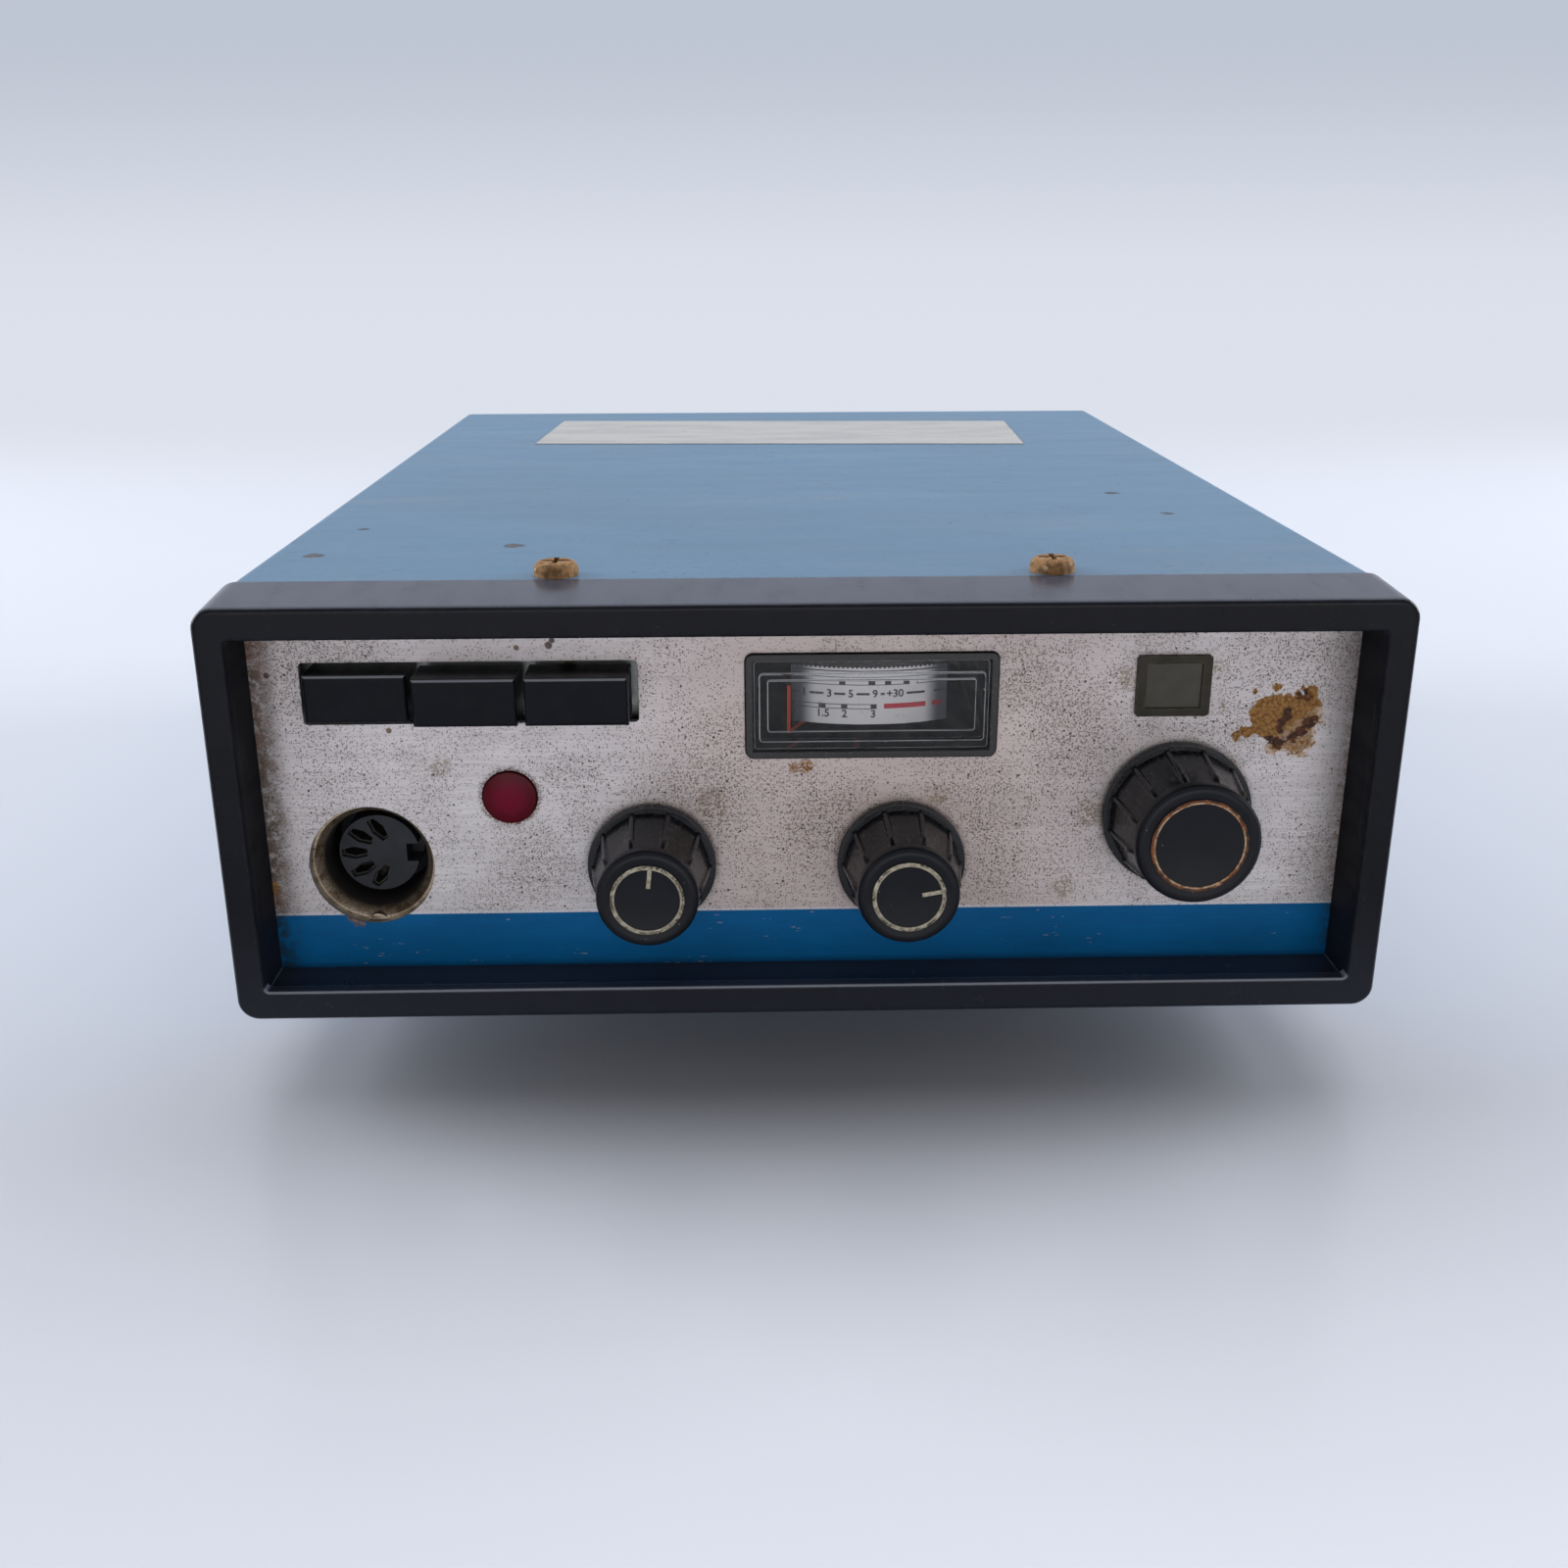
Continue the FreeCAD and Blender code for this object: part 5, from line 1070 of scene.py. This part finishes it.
@dataclass
class Knob:
    """A ribbed control knob: thin flange, tapered body of flats between ribs, plain rounded cap."""

    node: str
    body: Body
    flange: float
    cap: float
    ribs: int
    turn: float
    flange_thickness: float = 1.1
    cap_length: float = 2.4
    cap_round: float = 0.9
    rib_width: float = 0.8
    rib_step: float = 0.55
    rib_height: float = 0.35
    rib_side: float = 0.28
    rib_crown: float = 0.3
    rib_end: float = 0.95
    boss_height: float = 0.2
    boss_radius: float = 0.34
    boss_place: float = 0.88
    boss_reach: float = 0.045
    hollow: float = 0.06
    back_cut: float = 0.3
    bore: float = 3.05
    bore_depth: float = 9.5
    face_dip: float = 0.12
    body_rows: int = 14
    bend_rows: int = 7

    def profile(self, front: float, back: float) -> Tuple[np.ndarray, np.ndarray, np.ndarray]:
        """Rows from the bore's blind end, round the back and flange, along the body to the face.

        Args:
            front: Where the face is.
            back: Where the flange ends.

        Returns:
            Depth, radius and share of rib for each row. The share is 1 on the tapered body.
        """
        body_back, body_front = back - self.flange_thickness, front + self.cap_length
        bend = np.linspace(0.0, 0.5 * math.pi, self.bend_rows)
        along = np.linspace(0.0, 1.0, self.body_rows)
        centre, dip = self.cap - self.cap_round, front + self.face_dip
        rows = [
            ([back - self.bore_depth, back - 0.3], [self.bore] * 2),
            ([back] * 2, [self.bore + 0.3, self.flange - 0.3]),
            ([back - 0.3, body_back + 0.25], [self.flange] * 2),
            ([body_back + 0.03, body_back], [self.flange - 0.08, self.flange - 0.28]),
            (body_back + along * (body_front - body_back), 0.0 * along),
            ([body_front, body_front - 0.2], [self.cap - 0.2, self.cap]),
            (front + self.cap_round * (1.0 - np.sin(bend)), centre + self.cap_round * np.cos(bend)),
            ([front, dip, dip], [centre - 0.3, centre - 0.7, 0.4])]
        depth, radius = (np.concatenate(part) for part in zip(*rows))
        return depth, radius, np.where(radius == 0.0, 1.0, 0.0)

    def body_radius(self, angle: np.ndarray, along: np.ndarray) -> np.ndarray:
        """Radius of the tapered body.

        A flat is (crest - rib height) x (cos(half the step between ribs) / cos(angle from the
        flat's middle)) ^ cut, hollowed a little in its middle. The cut is under 1 by the flange,
        where the body is nearly round, and 1 at the cap, where it has flat sides. A rib stands to the
        crest where radius x sin(angle from the rib) is under half its width, and its front end
        carries a small round boss. The crest tapers in a straight line.

        Args:
            angle: Angle from the nearest rib, for each column.
            along: 0 at the flange and 1 at the cap, for each row.

        Returns:
            The radius for each row and column.
        """
        along = along[:, None]
        crest_back, crest_front = self.flange - self.rib_step, self.cap + 0.5 * self.rib_step
        crest = crest_back + (crest_front - crest_back) * along
        step = math.pi / self.ribs
        from_middle = step - np.abs(angle)
        cut = self.back_cut + (1.0 - self.back_cut) * along ** 0.6
        flat = (crest - self.rib_height) * (math.cos(step) / np.cos(from_middle)) ** cut
        flat = flat - self.hollow * (np.cos(0.5 * np.pi * from_middle / step) * np.sin(np.pi * along))
        offset = crest * np.abs(np.sin(angle))
        edge = np.clip((0.5 * (self.rib_width + self.rib_side) - offset) / self.rib_side, 0.0, 1.0)
        edge = edge * edge * (3.0 - 2.0 * edge)
        end = np.clip((self.rib_end - along) / (1.0 - self.rib_end), 0.0, 1.0)
        near = (offset / self.boss_radius) ** 2 + ((along - self.boss_place) / self.boss_reach) ** 2
        top = crest - self.rib_crown * (offset / self.rib_width) ** 2 + self.boss_height * np.exp(-near)
        return flat + np.maximum(top - flat, 0.0) * edge * end

    def build(self, material: Material) -> None:
        """Builds the knob in the place of its CAD node.

        A point is (x + radius x sin(angle), depth, z + radius x cos(angle)).

        Args:
            material: The knob's finish.
        """
        low, high = Surface.box(self.node)
        x, z = Surface.middle(self.node)
        step = 2.0 * math.pi / self.ribs
        half = 0.5 * self.rib_width / self.flange
        marks = np.concatenate([np.array([0.0, 0.35, 0.65, 0.85, 1.0, 1.15, 1.35]) * half,
                                np.linspace(1.7 * half, 0.5 * step, 7)])
        local = np.concatenate([-marks[:0:-1], marks[:-1]])
        centres = np.arange(self.ribs) * step + math.radians(self.turn) + 0.5 * step
        angle = (centres[:, None] + local).ravel()
        depth, radius, share = self.profile(low[1], high[1])
        back = high[1] - self.flange_thickness
        along = np.where(share > 0.0, (back - depth) / (back - low[1] - self.cap_length), 0.0)
        ribbed = self.body_radius(np.tile(local, self.ribs), along)
        reach = np.where(share[:, None] > 0.0, ribbed, radius[:, None])
        grid = np.stack([x + reach * np.sin(angle), depth[:, None] + 0.0 * reach,
                         z + reach * np.cos(angle)], -1)
        knob = Surface.mesh(self.node + "_shell", *Surface.tube(grid))
        Surface.hang(knob, self.body, "black_plastic", material)
        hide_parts(self.node)


@dataclass
class MeterPrint:
    """The print on the meter's curved scale: figures, dashes, ladder bars, lines and a red bar.

    A row of bars is the height of its middle, its width, and the left and right end of each bar.
    """

    radius: float = 26.5
    lift: float = 0.02
    thickness: float = 0.03
    font: float = 1.6
    boldness: float = 0.036
    steps: int = 14
    figures: Tuple[Tuple[str, float, float], ...] = (
        ("1", -9.5, 0.81), ("3", -5.9, 0.81), ("5", -2.8, 0.81), ("9", 0.7, 0.81), ("+30", 3.6, 0.81),
        ("1", -10.9, -2.2), ("1.5", -6.8, -2.2), ("2", -3.7, -2.2), ("3", 0.45, -2.2))
    dashes: Bars = (
        (0.81, 0.33, ((-11.2, -10.3), (-8.7, -6.7), (-5.2, -3.6), (-2.0, -0.1), (1.5, 2.1), (5.3, 8.0),
                      (9.4, 10.7))),
        (4.22, 0.16, ((-11.2, 10.9),)), (3.35, 0.08, ((-11.2, 10.9),)),
        (2.79, 0.1, ((-11.2, 5.7),)), (2.17, 0.1, ((-11.2, 5.7),)),
        (2.79, 0.1, ((6.8, 10.7),)), (2.17, 0.1, ((6.8, 10.7),)),
        (2.48, 0.6, ((-4.5, -3.6), (-0.3, 0.7), (2.1, 3.0), (4.8, 5.7), (6.8, 6.9))),
        (-0.75, 0.1, ((-11.2, 0.95),)), (-1.39, 0.1, ((-11.2, 0.95),)),
        (-1.07, 0.6, ((-11.2, -10.9), (-7.4, -6.4), (-4.2, -3.3), (0.05, 0.95))))
    red: Bars = ((-1.03, 0.72, ((2.0, 8.15),)), (-1.03, 0.66, ((9.1, 10.7),)))

    def bent(self, flat: np.ndarray) -> np.ndarray:
        """Wraps flat print round the scale.

        With the scale's axis upright, a point u across and w proud of the sheet goes to
        (x + (radius + w) sin a, axis - (radius + w) cos a), where sin a = u / radius.

        Args:
            flat: Rows of u, w, height in millimetres from the scale's middle.

        Returns:
            The points, in millimetres.
        """
        across, up = Surface.middle("meter_scale")[0], Surface.middle("meter_window")[1]
        axis = Surface.box("meter_scale")[0][1] + self.radius
        angle = np.arcsin(flat[:, 0] / self.radius)
        reach = self.radius + self.lift + flat[:, 1]
        return np.stack([across + reach * np.sin(angle), axis - reach * np.cos(angle),
                         up + flat[:, 2]], -1)

    def bars(self, name: str, rows: Bars) -> Piece:
        """Builds many thin bars as one piece.

        Each bar is a rectangle of its width and the ink's thickness, carried across the scale in
        steps and closed at both ends.

        Args:
            name: The piece's name.
            rows: The rows of bars.

        Returns:
            The object.
        """
        proud = np.array([0.0, 0.0, self.thickness, self.thickness])
        parts = []
        for height, width, ends in rows:
            up = height + 0.5 * width * np.array([-1.0, 1.0, 1.0, -1.0])
            for left, right in ends:
                across = np.linspace(left, right, self.steps)[:, None]
                grid = np.stack(np.broadcast_arrays(across, proud, up), -1)
                points, faces = Surface.tube(grid, True)
                parts.append((self.bent(points), faces))
        return Surface.joined(name, parts)

    def numbers(self, name: str) -> Piece:
        """Builds the figures as one piece of thin raised print.

        Args:
            name: The piece's name.

        Returns:
            The object.
        """
        parts = []
        for text, across, height in self.figures:
            curve = bpy.data.curves.new(name, "FONT")
            curve.body, curve.size, curve.resolution_u = text, self.font, 4
            curve.align_x = curve.align_y = "CENTER"
            curve.extrude, curve.offset = 0.5 * self.thickness, self.boldness
            sample = Surface.linked(name, curve)
            mesh = bpy.data.meshes.new_from_object(
                sample.evaluated_get(bpy.context.evaluated_depsgraph_get()))
            points = np.zeros(len(mesh.vertices) * 3)
            mesh.vertices.foreach_get("co", points)
            flat = points.reshape(-1, 3)[:, [0, 2, 1]] + np.array([across, 0.5 * self.thickness, height])
            parts.append((self.bent(flat), [list(face.vertices) for face in mesh.polygons]))
            bpy.data.objects.remove(sample)
            bpy.data.curves.remove(curve)
            bpy.data.meshes.remove(mesh)
        return Surface.joined(name, parts)

    def build(self, ink: Material, red_ink: Material) -> None:
        """Builds the print and hangs it on the radio.

        Args:
            ink: The dark ink.
            red_ink: The red ink.
        """
        Surface.hang(self.bars("scale_marks", self.dashes), Body.RADIO, "scale_print", ink)
        Surface.hang(self.numbers("scale_figures"), Body.RADIO, "scale_print", ink)
        Surface.hang(self.bars("scale_red_bar", self.red), Body.RADIO, "red_plastic", red_ink)


@dataclass
class Wardrobe:
    """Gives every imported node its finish."""

    knob_plastic: Optional[Material] = None
    dressed: List[str] = field(default_factory=list)

    def dress(self, finishes: Dict[str, Any]) -> Material:
        """Makes finishes and puts each on its nodes.

        Args:
            finishes: Each finish, under node names with spaces between them.

        Returns:
            The last material.
        """
        for nodes, finish in finishes.items():
            material = finish.make()
            for name in nodes.split():
                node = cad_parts[name]
                if not node.material_slots:
                    node.data.materials.append(material)
                for slot in node.material_slots:
                    slot.material = material
                self.dressed.append(name)
            LOG.info("%s on %s", material.name, nodes)
        return material

    def front(self) -> None:
        """Dresses the panel and what is let into it."""
        panel, window, knob = (Surface.box(node) for node in (
            "front_panel", "meter_window", "volume_knob"))
        lens, meter = Surface.middle("alarm_lens"), Surface.middle("meter_window")
        knobs = tuple((*Surface.middle(node), radius) for node, radius in (
            ("volume_knob", 9.6), ("squelch_knob", 9.6), ("channel_knob", 11.0)))
        brass = rgb(178, 170, 150), rgb(142, 132, 112), rgb(76, 66, 52), 0.3
        rusty = rgb(206, 180, 146), rgb(128, 74, 36), rgb(48, 30, 20), 0.95
        self.dress({
            "front_panel": BrushedPanel(
                "brushed aluminium, printed and stained", *panel, (*lens, 4.0), knobs),
            "meter_window": Clear("clear meter window", *window),
            "meter_scale": ScaleSheet("silvered meter scale", meter[0], meter[1] + 4.55),
            "meter_pointer": Ink("orange needle lacquer", rgb(214, 66, 34)),
            "meter_case meter_yoke": Moulding(
                "meter housing", rgb(14, 16, 21), 0.55, 0.6, edge=0.15, dust=0.06, gloss=0.2),
            "alarm_lens": Lens("red lamp lens", lens),
            "window_frame": Moulding(
                "olive window bezel", rgb(52, 47, 34), 0.45, edge=0.25, dust=0.4, gloss=0.3, wear=0.6,
                dust_colour=rgb(100, 84, 56), wear_and_highlight_colour=rgb(110, 98, 72)),
            "window_pane": Moulding(
                "smoked window pane", rgb(84, 80, 70), 0.3, 2.5, edge=0.1, gloss=0.25,
                dust_colour=rgb(110, 104, 86)),
            "socket_shell": SocketMetal("rolled socket mouth", float(Surface.box("socket_shell")[0][1])),
            "left_key middle_key right_key": Moulding(
                "black key caps", rgb(17, 20, 28), 0.3, 0.35, 0.003, 0.3, 0.04, wear=0.2, scuffing=0.12,
                wear_and_highlight_colour=rgb(176, 180, 190), gloss=0.1, painted_rim_highlight=0.7, rim_round=True),
            "volume_inlay": InlayRing("dull brass inlay", Surface.middle("volume_inlay"), 4.6, *brass),
            "squelch_inlay": InlayRing("dull brass inlay", Surface.middle("squelch_inlay"), 4.6, *brass),
            "channel_inlay": InlayRing(
                "rusty inlay ring", Surface.middle("channel_inlay"), 6.2, *rusty)})
        self.knob_plastic = self.dress({"volume_knob squelch_knob channel_knob": KnobPlastic(
            "black knob moulding", float(knob[0][1]), float(knob[1][1]))})

    def case(self) -> None:
        """Dresses the covers, the frame, the label, the feet and the screws."""
        self.dress({
            "top_cover bottom_cover": Enamel(
                "steel blue enamel", rgb(90, 126, 156), float(Surface.box("top_cover")[1][2])),
            "front_frame": Moulding(
                "near-black front moulding", rgb(13, 14, 23), 0.18, 2.2, 0.002, 0.45, 0.04, wear=0.1,
                wear_and_highlight_colour=rgb(176, 182, 194), scuffing=0.1, gloss=0.15, painted_rim_highlight=0.8, rim_below=22.0,
                painted_sheen=0.75, dull_beyond=78.0),
            "rubber_feet": Moulding("black rubber", rgb(26, 26, 27), 0.72, 0.7, 0.02, 0.3, 0.4),
            "front_screws": Metal(
                "rusty domed screws", rgb(180, 156, 124), rgb(164, 124, 80), 0.84, 0.42, cloud=1.0,
                depth=0.06),
            "side_screws foot_screws chassis_screws": Metal(
                "dull plated screws", rgb(178, 176, 168), rgb(112, 86, 62), 0.3, 0.36, cloud=1.6),
            "paper_label": Paper("aged paper label")})

    def works(self) -> None:
        """Dresses the back and what is inside the case."""
        self.dress({
            "socket_insert": Moulding(
                "dark socket insert", rgb(40, 42, 48), 0.4, edge=0.1, dust=0.08, wear=0.2, gloss=0.3),
            "antenna_insulator key_switches power_inlet volume_potentiometer squelch_potentiometer "
            "channel_switch lamp_holder speaker_jack": Moulding(
                "dark technical plastic", rgb(27, 27, 30), 0.42, edge=0.15, dust=0.2),
            "chassis rear_panel speaker_basket key_bracket channel_wafers bracket_inserts": Metal(
                "zinc plated sheet", rgb(172, 174, 172), rgb(138, 130, 112), 0.22, 0.38, Along.X, 9.0),
            "control_nuts volume_shaft squelch_shaft channel_shaft coil_cans crystals": Metal(
                "turned bright metal", rgb(190, 188, 184), rgb(130, 112, 84), 0.2, 0.28),
            "socket_contacts": Metal(
                "dark socket contacts", rgb(70, 68, 64), rgb(30, 28, 26), 0.5, 0.35, cloud=0.8),
            "antenna_contact power_pins antenna_socket jack_nut": Metal(
                "plated contacts", rgb(196, 184, 150), rgb(104, 84, 56), 0.28, 0.3, cloud=1.5),
            "heat_sink power_transistors": Metal(
                "black anodised casting", rgb(34, 34, 36), rgb(60, 58, 54), 0.3, 0.45, cloud=5.0),
            "channel_dial": Moulding("pale dial disc", rgb(150, 148, 138), 0.5, 0.6, edge=0.1),
            "speaker_cone": Moulding("pressed cone paper", rgb(46, 44, 42), 0.85, 0.8, 0.04, 0.1),
            "main_board": Laminate("lacquered circuit board"),
            "capacitors": Moulding("sleeved capacitors", rgb(36, 60, 92), 0.4, edge=0.15)})

    def fill(self) -> None:
        """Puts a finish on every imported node, and names any that is left without one."""
        self.front()
        self.case()
        self.works()
        missing = sorted(set(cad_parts) - set(self.dressed))
        if missing:
            LOG.warning("no finish yet on %s", missing)


@dataclass(frozen=True)
class Lamp:
    """A soft rectangular lamp: where it hangs, what it points at, its width and height, and power."""

    name: str
    place: Spot
    target: Spot
    size: Tuple[float, float]
    watts: float
    colour: Colour = (0.97, 0.98, 1.0)

    def build(self) -> None:
        """Hangs the lamp."""
        data = bpy.data.lights.new(self.name, "AREA")
        data.shape, data.energy, data.color = "RECTANGLE", self.watts, self.colour
        data.size, data.size_y = (side * MM for side in self.size)
        made = Surface.linked(self.name, data)
        made.location = Vector(self.place) * MM
        towards = (Vector(self.target) - Vector(self.place)) * MM
        made.rotation_euler = towards.to_track_quat("-Z", "Y").to_euler()


@dataclass
class Studio:
    """A pale seamless sweep, an even sky, four soft lamps and the camera."""

    position: Spot = (-8.22, -328.44, 120.135)
    focal_pixels: float = 1647.74
    image_pixels: float = 1600.0
    pitch: float = 19.354
    yaw: float = -1.256
    roll: float = -0.197
    sensor: float = 36.0
    sky_strength: float = 0.09
    sky: Colour = (0.93, 0.96, 1.0)
    lamps: Tuple[Lamp, ...] = (
        Lamp("window_light", (-60.0, 420.0, 1150.0), (0.0, -30.0, 0.0), (2600.0, 700.0), 13.5),
        Lamp("left_light", (-1150.0, 300.0, 420.0), (0.0, 0.0, 0.0), (800.0, 640.0), 12.5),
        Lamp("right_light", (1150.0, 300.0, 420.0), (0.0, 0.0, 0.0), (800.0, 640.0), 12.5),
        Lamp("front_fill", (80.0, -1300.0, 200.0), (0.0, 0.0, 40.0), (1500.0, 380.0), 3.7,
             (1.0, 0.97, 0.95)))
    floor_front: float = -1800.0
    floor_back: float = 900.0
    bend: float = 600.0
    half_width: float = 2400.0
    wall: float = 1400.0
    near_back: float = 260.0
    far_back: float = 760.0
    seen: Tuple[str, ...] = ("Is Camera Ray", "Is Glossy Ray", "Is Transmission Ray")

    def sweep(self) -> None:
        """Builds the paper sweep: a floor line, a quarter circle and a wall line, carried along X."""
        turn = np.linspace(0.0, 0.5 * math.pi, 24)
        wall = self.floor_back + self.bend
        depth = np.concatenate([[self.floor_front], self.floor_back + self.bend * np.sin(turn), [wall]])
        height = np.concatenate([[0.0], self.bend * (1.0 - np.cos(turn)), [self.bend + self.wall]])
        side = np.array([-self.half_width, self.half_width])
        grid = np.stack(np.broadcast_arrays(side, depth[:, None], height[:, None]), -1)
        row = np.arange(len(depth) - 1) * 2
        floor = Surface.mesh("paper_sweep", grid.reshape(-1, 3),
                             np.stack([row, row + 1, row + 3, row + 2], -1))
        graph = Graph("pale paper sweep")
        paper = graph.plastic(Base_Color=rgb(221, 225, 235), Roughness=0.24, Specular_IOR_Level=0.45)
        shown = graph.mixed(graph.axis(2).rising(30.0, 300.0), rgb(220, 225, 235), rgb(191, 198, 211))
        backdrop = graph.node("Emission", {"Color": shown, "Strength": 1.0})
        far = graph.axis(1).rising(self.near_back, self.far_back) * graph.rays(*self.seen)
        floor.data.materials.append(graph.done(graph.blended(far, paper, backdrop)))

    def light(self) -> None:
        """Sets the room's even light and hangs the lamps above and behind, at both sides and in front.

        Where the sweep ends, a pale backdrop shows in place of the room's light.
        """
        room = Graph("soft room", True)
        even = room.node("Background", {"Color": self.sky, "Strength": self.sky_strength})
        pale = room.node("Background", {"Color": rgb(206, 212, 225)})
        bpy.context.scene.world = room.done(room.blended(room.rays(*self.seen), even, pale))
        for lamp in self.lamps:
            lamp.build()

    def camera(self) -> None:
        """Places the camera: level and looking along Y, then rolled, pitched down and turned left."""
        data = bpy.data.cameras.new("camera")
        data.sensor_width = self.sensor
        data.lens = self.focal_pixels / self.image_pixels * self.sensor
        data.clip_start, data.clip_end = 0.01, 20.0
        made = Surface.linked("camera", data)
        turns = ((self.yaw, "Z"), (90.0 - self.pitch, "X"), (self.roll, "Z"))
        made.matrix_world = reduce(
            Matrix.__matmul__, [Matrix.Rotation(math.radians(angle), 4, axis) for angle, axis in turns],
            Matrix.Translation(Vector(self.position) * MM))
        bpy.context.scene.camera = made

    def build(self) -> None:
        """Builds the whole studio."""
        bpy.context.scene.view_settings.view_transform = "Standard"
        self.sweep()
        self.light()
        self.camera()
        LOG.info("studio ready")


def main() -> None:
    """Builds the studio, the finishes, the knobs and the meter's print, in that order."""
    logging.basicConfig(level=logging.INFO, format="%(name)s: %(message)s")
    Studio().build()
    wardrobe = Wardrobe()
    wardrobe.fill()
    for knob in (Knob("volume_knob", Body.VOLUME, 9.4, 7.2, 10, 0.0),
                 Knob("squelch_knob", Body.SQUELCH, 9.4, 7.2, 10, 0.0),
                 Knob("channel_knob", Body.CHANNEL, 10.9, 8.8, 12, 2.0)):
        knob.build(wardrobe.knob_plastic)
    MeterPrint().build(
        Ink("dark scale ink", rgb(50, 44, 52)).make(),
        Ink("red scale ink", rgb(206, 44, 62), Surface.middle("meter_window")[0], 8.2).make())


if __name__ == "__main__":
    main()
